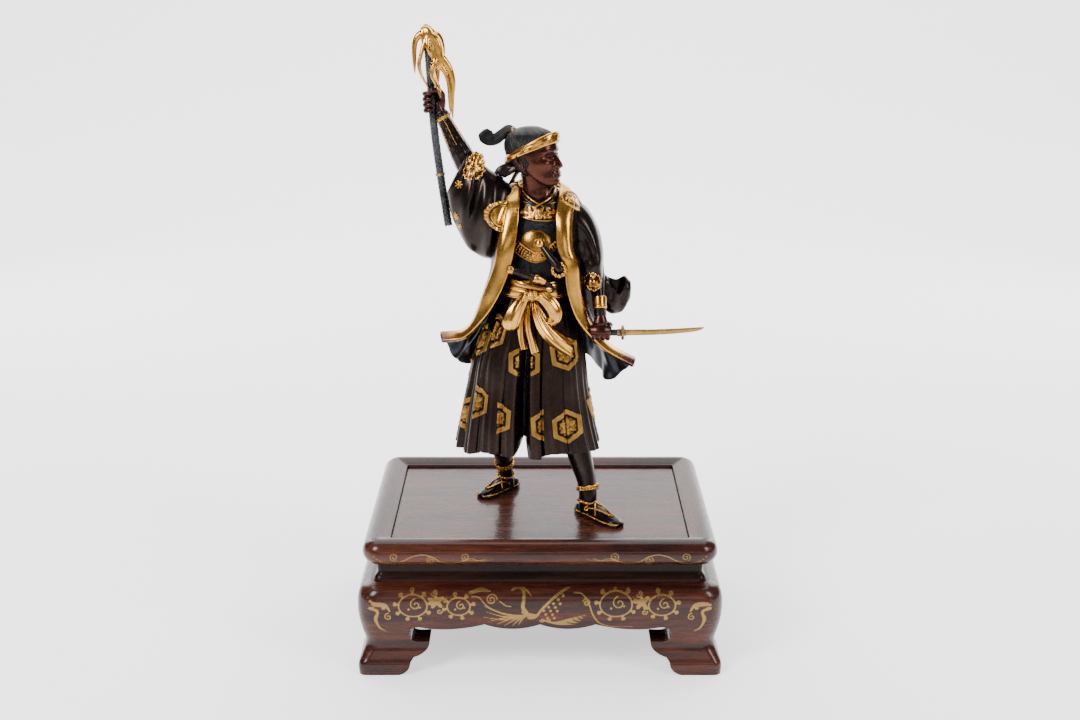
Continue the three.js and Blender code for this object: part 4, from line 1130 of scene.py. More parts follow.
def makeChest():
    cuirass = show("cuirass", [ringsShape(levelRings(trunkRows, 60, 120))], "nanakoIron")
    t = linspace(shareAt(trunkRows, chest["cuirassTop"]), 1, 24)
    z, x, y, a, b = readRows(trunkRows, t).T
    angle = angles(120)
    proud = chest["plateProud"] * minimum(1, arange(24) / 2 + 0.35)[:, None]
    rings = stack([x[:, None] + (a[:, None] + proud) * cos(angle), y[:, None] + (b[:, None] + proud) * sin(angle),
        np.broadcast_to(z[:, None], (24, 120))], -1)
    rings[..., 2] += 0.06 * (rings[..., 0] + 2)  # the plate's lower edge slopes a little
    plate = show("breastPlate", [ringsShape(rings)], "coatBronze")
    return cuirass, plate


cuirass, breastPlate = makeChest()
chestSurface = surfaceOf(cuirass, breastPlate)


def strip(name, first, second, thick, finish, crown=0.3, columns=9):
    # a strip of cloth or metal between two edges, standing proud to the front
    t, w = linspace(0, 1, 60), linspace(0, 1, columns)
    a, b = readRows(first, t), readRows(second, t)
    grid = a[:, None] * (1 - w)[:, None] + b[:, None] * w[:, None]
    normal = gridNormal(grid)
    way = 1 if normal[..., 1].sum() > 0 else -1
    grid = grid - way * normal * (crown * sin(pi * w) ** 0.6)[:, None]
    return meshObject(name, [clothShape(grid, thick, inward=way)], finish)


def cord(rows, radius, sides=10, steps=None):  # a round cord through points, as a shape
    rows = [[*p, radius, radius] for p in rows]
    return tube(rows, (0.31, 0.22, 0.92), steps=steps or 6 * len(rows), sides=sides)


collarRight = {  # the under-robe's collar, wearer's right: neck edge and outer edge
    "neck": [[-8.2, 9, 306.5], [-11.8, 2, 306.8], [-10.4, -7.4, 304.4], [-6.4, -12.2, 301], [-1.6, -14.6, 298.4],
        [1.6, -15.6, 296.6]],
    "outer": [[-12.4, 13, 303], [-17, 3, 303], [-15.4, -8.6, 300.4], [-11, -14.2, 296.6], [-5.4, -16.6, 294.4],
        [-2, -17.4, 292.8]],
}
collarLeft = {
    "neck": [[6.6, 9, 306], [10.2, 2, 306.2], [9, -7.4, 303.8], [5.4, -11.8, 300.8], [0.6, -14.4, 298.4],
        [-2.8, -15.8, 296.6]],
    "outer": [[11.2, 13, 302.6], [15.4, 3, 302.4], [13.8, -8.6, 299.6], [10, -14, 296.2], [4.4, -16.8, 294],
        [0.8, -17.6, 292.8]],
}


def makeCollar():
    pieces = []
    for name, edges, lift in (("collarUnder", collarRight, 0), ("collarOver", collarLeft, -0.9)):
        neck, outer = (array(edges[side]) + [0, lift, 0] for side in ("neck", "outer"))
        outer = neck + chest["collarShare"] * (outer - neck)
        pieces.append(strip(name, neck, outer, chest["collarThick"], "coatBronze"))
        line = [[x, y - 0.35, z + 0.2] for x, y, z in neck]
        pieces.append(meshObject(name + "Piping", [cord(line, 0.62)], "gilt"))
    for made, slot in zip(pieces, ("bronze", "gilt", "bronze", "gilt")):
        keep(made, slot)


makeCollar()
print("stage: chest")


# Sleeves, and the blown pocket of the left one

sleeveCut = {"rows": 90, "sides": 132, "cloth": 1.5, "rightFold": 0.16, "leftFold": 0.1}
rightSleeveRows = [  # upper edge x, y, z; lower edge x, y, z; half-depth
    [-12, 1, 303, -12, 1, 262, 12], [-26, 1, 313, -32, 0, 258.6, 15], [-36, 1, 321, -46, 0, 265, 14],
    [-42.6, 1, 328.4, -56.4, 0, 283, 12], [-45.6, 2, 332, -61, 1, 302, 9.4],
]
leftSleeveRows = [
    [16, 1, 301, 10, 1, 280, 12], [29.6, 0, 294, 16, 0, 275, 14], [37.6, -2, 281.6, 20, -2, 268, 14],
    [41.4, -4, 268, 24, -4, 259, 13.6], [42, -6, 254, 27.6, -7, 250, 12.4], [41.6, -9, 243, 29, -10, 242, 10.6],
]
pocketRows = [
    [38, 2, 258, 35, -1, 234, 6], [44, 5, 247, 41, 3, 226, 6], [50, 7, 243.6, 47.6, 6, 219.6, 6.6],
    [56, 8, 245.4, 54.6, 8, 220, 6.6], [59.6, 8, 242.6, 59.4, 8, 227.6, 4.6],
]


def spanRings(rows, steps, sides, folds):
    t = linspace(0, 1, steps + 1)
    table = readRows(rows, t)
    upper, lower, deep = table[:, :3], table[:, 3:6], table[:, 6]
    middle, reach = (upper + lower) / 2, (upper - lower) / 2
    angle = angles(sides)
    k = folds(t[:, None], angle)
    rings = middle[:, None] + reach[:, None] * (cos(angle) * (1 + 0.25 * k))[..., None]
    rings[..., 1] += deep[:, None] * sin(angle) * (1 + k)
    return rings


def hollowMouth(rings, cloth, depth):  # turns the last ring inwards, so the end is an open mouth
    last, inside = rings[-1], rings[-4]
    middle = last.mean(0)
    back = unit(inside.mean(0) - middle)
    radius = linalg.norm(last - middle, axis=1, keepdims=True)
    inner = middle + (last - middle) * (1 - cloth / maximum(radius, cloth * 1.5))
    lip = [(last + inner) / 2 - back * 0.35]
    steps = [inner + back * depth * k for k in (0.05, 0.35, 0.7, 1)]
    steps[-1] = middle + back * depth + (inner - middle) * 0.7
    return array([*rings, *lip, *steps])


def rightSleeveFolds(t, angle):  # hanging folds that fall from the upper arm
    low = 0.5 - 0.5 * cos(angle)
    drift = 0.08 * sin(angle) + 0.1 * low
    wave = cos(turn * (2.9 * (t + drift) + 0.15)) + 0.35 * cos(turn * (5.7 * (t - 0.6 * drift) + 0.3))
    return sleeveCut["rightFold"] * wave * (0.25 + 0.6 * np.abs(sin(angle))) * sin(pi * clip(t * 1.02, 0, 1)) ** 0.6


def leftSleeveFolds(t, angle):  # folds that run down the sleeve
    wave = cos(3 * angle + 2.4 * t + 0.6) + 0.6 * cos(5 * angle - 3 * t + 0.8)
    bunch = 0.6 * cos(turn * (4.5 * t + 0.16 * sin(angle))) * exp(-((t - 0.85) / 0.25) ** 2)
    return sleeveCut["leftFold"] * (wave * clip(t / 0.4, 0, 1) + bunch) * sin(pi * clip(t, 0, 1)) ** 0.5


def makeSleeves():
    c = sleeveCut
    right = hollowMouth(spanRings(rightSleeveRows, c["rows"], c["sides"], rightSleeveFolds), c["cloth"], 15)
    left = hollowMouth(spanRings(leftSleeveRows, c["rows"], c["sides"], leftSleeveFolds), c["cloth"], 12)
    return [show(name, [ringsShape(rings)], "coatBronze")
        for name, rings in (("rightSleeve", right), ("leftSleeve", left))]


def makePocket():
    def folds(t, angle):
        return 0.12 * cos(turn * (2.3 * t + 0.2 * sin(angle))) + 0.08 * cos(4 * angle + 5 * t)
    outer = ringsShape(roundEnds(spanRings(pocketRows, 60, 96, folds), 0.5))
    made = meshObject("sleevePocket", [outer], "coatBronze")
    rows = [[229, 51.4, 4.4, 0.6, 1.2], [234, 51.4, 4.4, 2.6, 3], [241, 51.6, 3.6, 5.4, 4.6],
        [250, 51.8, 2.8, 8.4, 6.2]]
    hollow = meshObject("pocketHollow", [ringsShape(levelRings(rows, 24, 48))], None)
    cutAway(made, hollow)
    keep(fuse(made, 0.35, relax=8))


rightSleeve, leftSleeve = makeSleeves()
makePocket()
print("stage: sleeves")


# Head, turned to the figure's left; the face is made looking along -Y and then placed

headPlace = {"centre": (-3.6, -2.4, 325.4), "turn": 62, "nod": -4}
skullRows = [  # z, x, y, half-width, half-depth, from the chin to the crown
    [-17.4, 0, -10.4, 2.4, 2.2], [-16.2, 0, -9.4, 6.2, 5.6], [-11.6, 0, -6.2, 9.6, 10.4], [-5, 0, -2.6, 12, 14],
    [2.4, 0, 0.4, 13.6, 16.8], [10, 0, 1.6, 13.6, 17.4], [16, 0, 2.2, 10.8, 14.2], [20, 0, 2.6, 4.8, 6.8],
    [20.9, 0, 2.6, 1, 1],
]
hairStyle = {"lift": 0.9, "ridge": 0.2, "ridges": 104, "hairline": 84, "nape": -10.5}


def place(points):  # from the head's own frame to the figure
    x, y, z = asarray(points, float).reshape(-1, 3).T
    a, b = radians(headPlace["nod"]), radians(headPlace["turn"])
    y, z = y * cos(a) - z * sin(a), y * sin(a) + z * cos(a)
    x, y = x * cos(b) - y * sin(b), x * sin(b) + y * cos(b)
    return column_stack([x, y, z]) + headPlace["centre"]


def placed(shape):
    return place(shape[0]), shape[1]


def ball(centre, radii, rows=14, sides=24):
    a = linspace(-pi / 2, pi / 2, rows + 2)[1:-1][:, None]
    b = angles(sides)
    rings = stack([cos(a) * cos(b), cos(a) * sin(b), sin(a) + 0 * b], -1)
    return ringsShape(rings * array(radii, float) + array(centre, float))


faceLook = {
    "rows": 200, "sides": 340, "crowding": 0.6,  # the rings' points stand closer together in front
    "eyeOut": 5.4, "eyeUp": 1.7, "mouth": -9.9, "lid": 0.42, "brow": 0.6, "eyebrow": 0.3,
}
noseBridge = [(-7.2, 0, 2), (-6.5, 0.35, 2.1), (-6, 1.5, 2.2), (-5.4, 2.9, 2.3), (-4.6, 3.6, 2.35), (-3.8, 3.65, 2.25),
    (-2, 2.9, 1.95), (0, 2, 1.75), (2.6, 1, 1.6), (4.6, 0.2, 1.5)]  # z, height, half-width


def faceRelief(x, z):  # how far the features stand out from the plain head, in mm
    f = faceLook
    s = np.abs(x)
    hump = lambda px, pz, high, wide, tall: high * exp(-((s - px) / wide) ** 2 - ((z - pz) / tall) ** 2)
    line = lambda away, high, wide: high * exp(-(away / wide) ** 2)
    within = lambda value, low, high, soft: 1 / (1 + exp(-(value - low) / soft)) / (1 + exp((value - high) / soft))
    places, highs, wides = zip(*noseBridge)
    nose = interp(z, places, highs) * exp(-(s / interp(z, places, wides)) ** 2.4)
    relief = hump(0, 3.2, -0.9, 2.2, 1.8) + hump(3.2, 5.2, f["brow"], 2.6, 1.5) + hump(7.2, 5.4, f["brow"], 3, 1.5)
    relief += hump(10.6, 4, 0.4, 2.2, 1.8) + hump(12, 7, -0.5, 2.4, 3.4)
    relief += hump(5.2, 2.2, -2.1, 3.7, 2.5) + hump(2.7, 2.2, -0.9, 1.1, 1.8)  # eye sockets
    relief += hump(8.6, -2, 1.1, 3.2, 2.6) + hump(8.4, -8, -0.6, 3, 3.2)  # cheekbones and cheeks
    # round the mouth, and the chin
    relief += hump(0, -9.6, 0.9, 5.6, 4.2) + hump(0, -15, 1.3, 3.8, 2.2) + hump(0, -12.7, -0.8, 3.8, 0.9)
    relief += hump(0, -7.6, -0.35, 0.5, 1) + hump(2.75, -4.9, 1.7, 0.95, 1.05) + hump(1.2, -6.2, -0.8, 0.55, 0.45)
    fold = (s - 3.7) - (-5 - z) * 0.5
    relief += line(fold, -0.3, 0.5) * within(z, -9, -5, 0.5)
    relief += nose
    # eyes: a ball, an almond opening and its lids
    e, up = s - f["eyeOut"], z - f["eyeUp"]
    arch = clip(1 - (e / 2.9) ** 2, 0, 1)
    upper, lower = up - 1.4 * arch, up + 0.95 * arch
    relief += 1.6 * sqrt(clip(1 - (e / 3.4) ** 2 - (up / 2.3) ** 2, 0, 1))
    span = within(e, -3, 3.2, 0.12)
    relief += span * (line(upper, f["lid"], 0.26) + line(lower, 0.7 * f["lid"], 0.24) - line(upper - 0.95, 0.3, 0.28))
    relief -= 0.4 * within(up, -0.95 * arch, 1.4 * arch, 0.06) * (arch > 0.02)
    relief -= 0.35 * exp(-((e / 0.7) ** 2 + ((up - 0.2) / 0.7) ** 2) ** 2)  # pupil
    relief += line(z - 5.2 - 0.9 * clip(1 - ((s - 6) / 4.6) ** 2, 0, 1), f["eyebrow"], 0.5) * within(s, 2.4, 10.2, 0.4)
    # lips
    m = z - f["mouth"]
    relief += line(m - 0.95, 0.75, 0.85) * exp(-(s / 3.6) ** 4) + line(m + 1.1, 0.9, 1) * exp(-(s / 3.1) ** 4)
    relief += line(m - 0.015 * s ** 2, -0.6, 0.26) * exp(-(s / 4) ** 6) + hump(4.3, f["mouth"], -0.4, 0.8, 0.8)
    return relief


def makeFace():
    f = faceLook
    even = angles(f["sides"]) + pi / 2
    angle = even - f["crowding"] * sin(even + pi / 2)
    z, x, y, a, b = (v[:, None] for v in readRows(skullRows, linspace(0, 1, f["rows"] + 1)).T)
    away = stack([cos(angle) / a, sin(angle) / b + 0 * a], -1)
    away /= linalg.norm(away, axis=-1, keepdims=True)
    px, py = x + a * cos(angle), y + b * sin(angle)
    front = clip(-sin(angle) / 0.3, 0, 1)
    proud = faceRelief(px, z) * front * clip((14 - z) / 3, 0, 1)
    rings = stack([px + away[..., 0] * proud, py + away[..., 1] * proud, z + 0 * px], -1)
    head = meshObject("face", [placed(ringsShape(rings))], "faceCopper")
    ears = []
    for s in (-1, 1):
        rim = [[s * 12.9, 1.6, -5.4], [s * 13.9, 3.6, -3.4], [s * 14.9, 4.9, 0.4], [s * 14.9, 4.6, 3.6],
            [s * 14, 2.6, 4.9], [s * 13.5, 0.9, 3.4], [s * 13.3, 0.6, 0.6]]
        ears += [cord(rim, 0.85, steps=30), ball((s * 13.3, 2.6, 0.2), (0.9, 2.3, 4.2)),
            ball((s * 13.3, 1.5, -4.6), (1.1, 1.5, 1.7)),
            cord([[s * 14, 3.4, 2.9], [s * 14.2, 3, 0], [s * 13.6, 1.6, -1.8]], 0.55)]
    details = fuse(meshObject("ears", [placed(shape) for shape in ears], "faceCopper"), 0.25)
    neck = tube([[-1, 1, 290, 8, 7.4], [-1, 0.4, 295, 9.4, 9], [-1.2, -0.8, 299, 9.6, 9.6], [-1.6, -2.2, 303, 9.4, 9.8],
        [-2.2, -2.4, 308, 9.1, 9.4], [-3.4, -2.6, 317, 9.4, 9.9]], steps=30, sides=64, soft=False)
    tendons = [tube([[x, y + 1.6, 297.5, 1.4, 1.4], [x * 1.1 + 1.6, y * 0.86, 304, 1.5, 1.5],
        [x * 1.2 + 3.6, y * 0.3, 313, 1.3, 1.3]], steps=16, sides=12) for x, y in ((-4.2, -10.6), (3.6, -10.8))]
    throat = fuse(meshObject("neck", [neck, *tendons], "faceCopper"), 0.45, relax=5)
    keep(joinPieces("faceAndNeck", [head, details, throat]), "skin_bronze", "head")


def makeHair():
    h = hairStyle
    start = shareAt(skullRows, h["nape"])
    z, x, y, a, b = (v[:, None] for v in readRows(skullRows, linspace(start, 0.995, 90)).T)
    angle = angles(420)
    # hair covers everything above the band, and below it only behind the temples
    front = np.abs(arctan2(cos(angle), -sin(angle)))
    bandLow = 6.8 - 7.4 * sin(angle)
    edge = radians(h["hairline"]) + 0.05 * sin(z * 0.9) + clip((-2 - z) / 9, 0, 1) * 0.75
    cover = clip((front - edge) / 0.05 + 0.5, 0, 1)
    cover = maximum(cover, clip((z - bandLow) / 1.5 + 0.5, 0, 1))
    nape = clip((z - h["nape"]) / 2.2, 0, 1) ** 0.5
    crown = clip((20 - z) / 4, 0, 1)
    strands = h["ridge"] * (cos(h["ridges"] * angle + 1.1 * z + 1.2 * sin(0.6 * z))
        + 0.6 * cos(47 * angle - 0.8 * z)) * crown
    lift = -4.5 + (h["lift"] + 4.5 + strands + 0.2 * cos(17 * angle + 0.5 * z) * crown) * cover * nape
    rings = stack([x + (a + lift) * cos(angle), y + (b + lift) * sin(angle), z + 0.35 * cover * (z > 16)], -1)
    show("hair", [placed(ringsShape(rings))], "hairGrey", "bronze", "head")


def makeHeadband():
    side = [(-3.5, -0.6), (-3.4, 0.5), (-3, 1), (-2.2, 1.25), (-1.2, 1.05), (-0.3, 1.3), (0.6, 1.35), (1.3, 1.1),
        (2.1, 1.3), (2.9, 1.1), (3.4, 0.6), (3.5, -0.6)]
    rings = []
    for angle in angles(200):
        narrow = 0.82 - 0.2 * sin(angle)
        lifted = 0.35 + 0.45 * max(sin(angle), 0)
        ring = []
        for rise, proud in side:
            wave = 0.14 * sin(5 * angle + rise) + 0.1 * sin(11 * angle - 1.4 * rise)
            r = rise * narrow
            out = proud + lifted + wave - 0.1 * r
            ring.append([(14 + out) * cos(angle), 1 + (17.4 + out) * sin(angle), 6.8 + r - 7.4 * sin(angle)])
        rings.append(ring)
    show("headband", [placed(ringsShape(rings, loop=True))], "gilt", "gilt", "head")


def makeTopknot():
    strand = lambda t, angle: 1 + 0.045 * (cos(26 * angle + 3 * t) + 0.5 * cos(9 * angle - 4 * t))
    rows = [[-9.5, 0.6, 337.6, 3.6, 3.4], [-12, 1.4, 339.4, 2.9, 2.8], [-16.2, 3, 342.4, 2.3, 2.3],
        [-20.4, 5, 343.6, 2.8, 2.6], [-24.2, 6, 340.6, 3.3, 3], [-28.6, 7, 337.2, 3.6, 3.2], [-32.4, 7, 337, 4.4, 3.6],
        [-35, 7, 338.8, 4.9, 3.8], [-36.6, 7, 341, 4, 3.2]]
    show("topknot", [tube(rows, (0.3, 0, 1), steps=110, sides=110, section=strand)], "hairGrey", "bronze", "head")
    binding = [tube([[x - 0.5, y - 0.2, z - 0.25, 2.95, 2.95], [x + 0.5, y + 0.2, z + 0.25, 2.95, 2.95]], (0.3, 0, 1),
        steps=4, sides=28) for x, y, z in ((-14.2, 2.3, 341.1), (-15.6, 2.8, 342), (-17, 3.3, 342.7))]
    show("topknotBinding", binding, "guardCopper", "skin_bronze", "head")


def makeTies():
    fold = lambda t, angle: 1 + 0.1 * cos(3 * angle + 4 * t) + 0.04 * cos(8 * angle)
    tails = [
        [[-11.6, 4.6, 319.6, 2.2, 1.8], [-15.6, 7, 319, 3.2, 2], [-20, 8.2, 317.4, 4, 2.4], [-25.4, 8.4, 315, 4.2, 2.6],
            [-27.8, 7.6, 310.6, 3.6, 2.6], [-28, 7, 306, 3.2, 2.4]],
        [[-11.8, 5, 318, 1.8, 1.6], [-15, 8.4, 315.4, 2.4, 1.6], [-17.6, 10.4, 310.6, 2.8, 1.4],
            [-19.4, 10.8, 305, 2.6, 1.2]],
    ]
    knot = ball((-12, 4.8, 319.2), (2.6, 2.8, 2.6))
    shapes = [tube(rows, (0.5, 0.2, 1), steps=48, sides=40, section=fold) for rows in tails]
    show("headbandTies", shapes + [knot], "coatBronze", "bronze", "head")


makeFace()
makeHair()
makeHeadband()
makeTopknot()
makeTies()
print("stage: head")


# Sash: belt, knot, loops and hanging ends

sashLook = {"ribs": 4, "cloth": 1.3, "creases": 2, "crease": 0.5}
beltRows = [
    [236.4, -3, -5.5, 22.4, 17.8], [238.4, -3, -5.5, 24.2, 19.6], [243, -3, -5.5, 24.6, 20],
    [247.4, -3, -5.2, 23.8, 19.2], [249.4, -3, -5, 22, 17.6],
]
ribbons = {
    # middle x, y, z, then half the width as a vector, then how much the cloth bows outwards
    "leftEnd": [[-8.6, -28.4, 238, 1.6, 0.2, 0.2, 0.8], [-11, -29.6, 231, 1.8, 0.2, 0.2, 1],
        [-12.6, -30.4, 221, 2, 0.3, 0.2, 1.2], [-12, -30.8, 212, 2.2, 0.3, 0.3, 1],
        [-10.2, -31, 205, 2.3, 0.3, 0.4, 0.6]],
    "rightEnd": [[-6.8, -28.6, 238, 1.6, 0.2, 0.2, 0.8], [-8, -30.4, 230, 1.9, 0.2, 0.2, 1],
        [-7.8, -31.2, 220, 2.2, 0.3, 0.5, 1.3], [-5.4, -31.4, 210.6, 2.5, 0.3, 0.8, 1],
        [-3.2, -31.2, 202.6, 2.7, 0.3, 0.9, 0.6]],
    "swag": [[-3.8, -28.8, 238, 2, 0.4, 0.8, 0.8], [-2.4, -31, 230, 2.8, 0.6, 1.4, 2],
        [1.8, -32.6, 221.4, 3.4, 1, 3.2, 2.8], [8.6, -33, 213.8, 3, 1, 4.8, 3], [15.4, -32, 208.4, 2, 1, 5.2, 2.4],
        [20.6, -30.2, 204.6, 0.8, 0.8, 5, 1.2]],
}
sashLoops = {  # middle x, y, z, half-width, half-depth of the puffed loops
    "left": [[-7.4, -28.2, 240, 2.4, 2.2], [-11.6, -29.8, 237, 3.4, 2.8], [-15.4, -31, 231.4, 4.4, 3.4],
        [-18, -31.2, 225.4, 5.1, 3.6], [-18.8, -31, 221.4, 4.8, 3.2], [-19, -30.8, 219, 3.4, 2.4],
        [-19, -30.6, 218, 1.2, 1]],
    "right": [[-3.6, -29, 239.6, 2.4, 2.4], [1, -31, 240.4, 3.4, 3], [6, -32.2, 237.2, 4.2, 3.4],
        [9.6, -32.6, 231.6, 4.2, 3.4], [9.8, -32.4, 226.6, 3.6, 3], [7, -32, 223.6, 2.8, 2.6],
        [3.4, -31.2, 225.2, 2.4, 2.2], [0.4, -30.4, 229.6, 2.2, 2], [-2.8, -29.4, 235, 1.8, 1.8]],
}


def ribbon(rows):  # a hanging strip that bows to the front
    t, w = linspace(0, 1, 70), linspace(-1, 1, 22)
    table = readRows(rows, t)
    grid = table[:, None, :3] + table[:, None, 3:6] * w[:, None]
    normal = gridNormal(grid)
    way = -1 if (normal @ [0.1, -1, 0.1]).sum() > 0 else 1
    creases = sashLook["crease"] * cos(sashLook["creases"] * pi * w + 5 * t[:, None]) * (1 - w ** 4)
    bow = table[:, 6:7] * (1 - w ** 2) + creases
    return clothShape(grid - way * normal * bow[..., None], sashLook["cloth"], inward=way)


def makeSash():
    def ribs(t, angle):
        folds = np.abs(sin(pi * sashLook["ribs"] * t)) ** 0.5
        return 1 + 0.028 * (folds - 0.6) + 0.006 * cos(9 * angle + 8 * t)
    outer = levelRings(beltRows, 60, 200, shape=ribs)
    middle = array([-3, -5.4, 0])
    hole = lambda ring, lift: (ring - middle) * [0.82, 0.82, 1] + [0, 0, lift] + middle
    belt = ringsShape([hole(outer[0], 0.6), *outer, hole(outer[-1], -0.6)], loop=True)
    made = [meshObject("sashBelt", [belt], "gilt")]
    upper = [[-19.6, -19.5, 250.8], [-12, -25.2, 249.6], [-4, -26.6, 247.4], [4, -26, 246], [10, -22.6, 246]]
    lower = [[-20.4, -20, 246.8], [-12, -25.8, 245.4], [-4, -27.2, 243.2], [4, -26.6, 242], [11, -23, 242.4]]
    made.append(strip("sashTopFold", upper, lower, 1.2, "gilt", crown=0.7, columns=13))
    bound = lambda t, angle: 1 + 0.13 * cos(turn * 3.5 * t) + 0.04 * cos(10 * angle)
    knot = [tube([[-11.8, -27.4, 239.6, 2.4, 2.2], [-9, -29.4, 240.2, 3.6, 3], [-6.6, -30, 240.4, 3.4, 3],
        [-4, -29.4, 240.6, 3.6, 3], [-1.6, -27.6, 241, 2.2, 2]], (0, 0, 1), steps=60, sides=40, section=bound)]

    def creased(t, angle):
        return (1 + 0.1 * cos(4 * angle + 2 * t) + 0.05 * cos(9 * angle - 3 * t)
            - 0.12 * exp(-((np.abs(angle - pi) - 0.9) / 0.22) ** 2))

    knot += [tube(rows, (0.9, 0, 0.4), steps=90, sides=90, section=creased) for rows in sashLoops.values()]
    made.append(fuse(meshObject("sashBow", knot, "gilt"), 0.32))
    for name, rows in ribbons.items():
        made.append(meshObject(name, [ribbon(rows)], "gilt"))
    keep(joinPieces("sash", made), "gilt", "sash")


makeSash()
print("stage: sash")


# Arms and hands

handCut = {"finger": 1.8, "gap": 0.3}
rightForearm = [[-40, 2, 306, 8, 8], [-49.7, 4, 325, 7.4, 7.2], [-55.9, 6, 336.7, 6.1, 6.2],
    [-61.4, 8, 347.6, 4.7, 4.9], [-64.8, 8.4, 354, 4.3, 4.6]]
leftForearm = [[35, -6, 258, 6.8, 7], [37.4, -9, 246, 5.4, 6], [38.8, -13, 238, 3.6, 4.4], [39.2, -16, 231, 3.1, 3.9],
    [39.5, -18, 225, 3, 3.6], [39.8, -19.2, 221, 3.2, 3.6]]


def fist(centre, bar, palm, grip, spread=1):  # four fingers and a thumb closed round a bar
    axis = unit(bar)
    back = unit(array(palm, float) - axis * (array(palm, float) @ axis))
    over = cross(axis, back)
    thick = handCut["finger"] * spread

    def point(slide, radius, degrees):
        a = radians(degrees)
        return array(centre) + axis * slide + back * radius * cos(a) + over * radius * sin(a)

    shapes = []
    for k, slide in enumerate(array((-5.7, -1.9, 1.9, 5.7)) * spread):
        size = thick * (1, 1.06, 1.04, 0.9)[k] if axis[2] > 0.5 else thick * (0.9, 1.04, 1.06, 1)[k]
        rows = []
        for degrees, swell in ((0, 1.05), (28, 1.12), (62, 1), (96, 1.14), (125, 0.98), (160, 1), (190, 1.08),
                (222, 0.95), (252, 0.8)):
            rows.append([*point(slide, grip + handCut["gap"] + thick * (1 + 0.1 * (swell - 1)), degrees), size * swell,
                size * swell * 0.97])
        shapes.append(tube(rows, axis, steps=48, sides=20))
        shapes.append(ball(point(slide, grip + thick * 1.9, 14), (1.35, 1.35, 1.35), 8, 12))  # knuckle
    size = spread  # thumb, then the back of the hand
    shapes.append(tube([[*point(1 * size, grip + 4, -2), 2.6 * size, 2.4],
        [*point(4.6 * size, grip + 4.2, -22), 2.4 * size, 2.3], [*point(7.4 * size, grip + 3.2, -52), 2.15 * size, 2],
        [*point(7.8 * size, grip + 2.8, -84), 1.9 * size, 1.7],
        [*point(7.2 * size, grip + 2.5, -114), 1.35 * size, 1.2]], axis, steps=36, sides=20))
    shapes.append(tube([[*point(-7.4 * size, grip + 2.9, 6), 3, 2], [*point(-3 * size, grip + 3.5, 2), 4.8, 2.7],
        [*point(2 * size, grip + 3.6, 0), 5, 2.8], [*point(7 * size, grip + 2.8, 2), 3.2, 2]], over, steps=24,
        sides=24))
    return shapes


def makeHands():
    right = fist((-70, 8.4, 361), (-0.06, 0.06, 1), (1, 0.2, -0.3), 2.5, 0.94)
    right.append(tube([[-60.6, 7.6, 346.4, 4, 4], [-63.2, 8.2, 351, 4, 4.4], [-65.4, 8.8, 357, 3.2, 4.4],
        [-66, 8.8, 360, 2.6, 4]], steps=24, sides=24))
    left = fist((39.8, -20, 213.6), (1, 0, 0), (0, -0.72, 0.7), 2, 0.84)
    left.append(tube([[39.6, -18, 226.4, 3.2, 3.5], [39.7, -19.6, 222.6, 4.3, 3.6], [39.8, -21.6, 218.6, 5.3, 3.2],
        [39.8, -22.6, 215.6, 5.6, 2.4]], steps=24, sides=24))
    for name, shapes in (("rightHand", right), ("leftHand", left)):
        keep(fuse(meshObject(name, shapes, "handBronze"), 0.3), "skin_bronze")


def onSkin(rows, t, angle, proud):  # points on a limb's skin
    table, u, v = limbFrame(rows, t)
    a, b = (table[:, 3] + proud) * cos(angle), (table[:, 4] + proud) * sin(angle)
    return table[:, :3] + u * a[:, None] + v * b[:, None]


def makeArms():
    quilt = lambda t, angle: 1 + 0.018 * cos(10 * angle) + 0.01 * cos(60 * t)
    show("rightArm", [tube(rightForearm, steps=80, sides=72, section=quilt)], "coatBronze")
    t = linspace(0.42, 0.83, 40)
    cords = [onSkin(rightForearm, t, full(40, radians(a)), 0.25) for a in (-140, -90, -40)]
    keep(alongPaths("armCords", beadTree, cords, "gilt", bead_radius=0.00034, spacing=0.00078), "gilt")
    rings = [onSkin(rightForearm, full(48, share), angles(48), 0.35) for share in (0.825, 0.845, 0.865)]
    keep(alongPaths("wristCords", ropeTree, rings, "gilt", closed=True, radius=0.00045, twist=2600.0), "gilt")
    cuff = [onSkin(rightForearm, full(48, share), angles(48), proud)
        for share, proud in ((0.84, 0.1), (0.85, 0.55), (0.93, 0.6), (0.97, 0.3), (0.98, -0.5))]
    show("wristCuff", [ringsShape(cuff)], "coatBronze")
    show("leftArm", [tube(leftForearm, steps=60, sides=56)], "coatBronze")
    # the gilt plate covers the front of the forearm
    t = linspace(0.45, 0.67, 34)
    angle = radians(linspace(-25, 205, 40))
    grid = array([onSkin(leftForearm, full(40, share), angle, 0.55 + 0.2 * cos(110 * share) * (share > 0.62))
        for share in t])
    show("armPlate", [clothShape(grid, 1, inward=-1)], "gilt", "gilt")
    wraps = [onSkin(leftForearm, full(40, share), angles(40), 0.3) for share in (0.69, 0.725, 0.76, 0.795)]
    keep(alongPaths("wristWraps", ropeTree, wraps, "coatBronze", closed=True, radius=0.0008, twist=900.0))


makeHands()
makeArms()
print("stage: arms and hands")


# Legs and feet

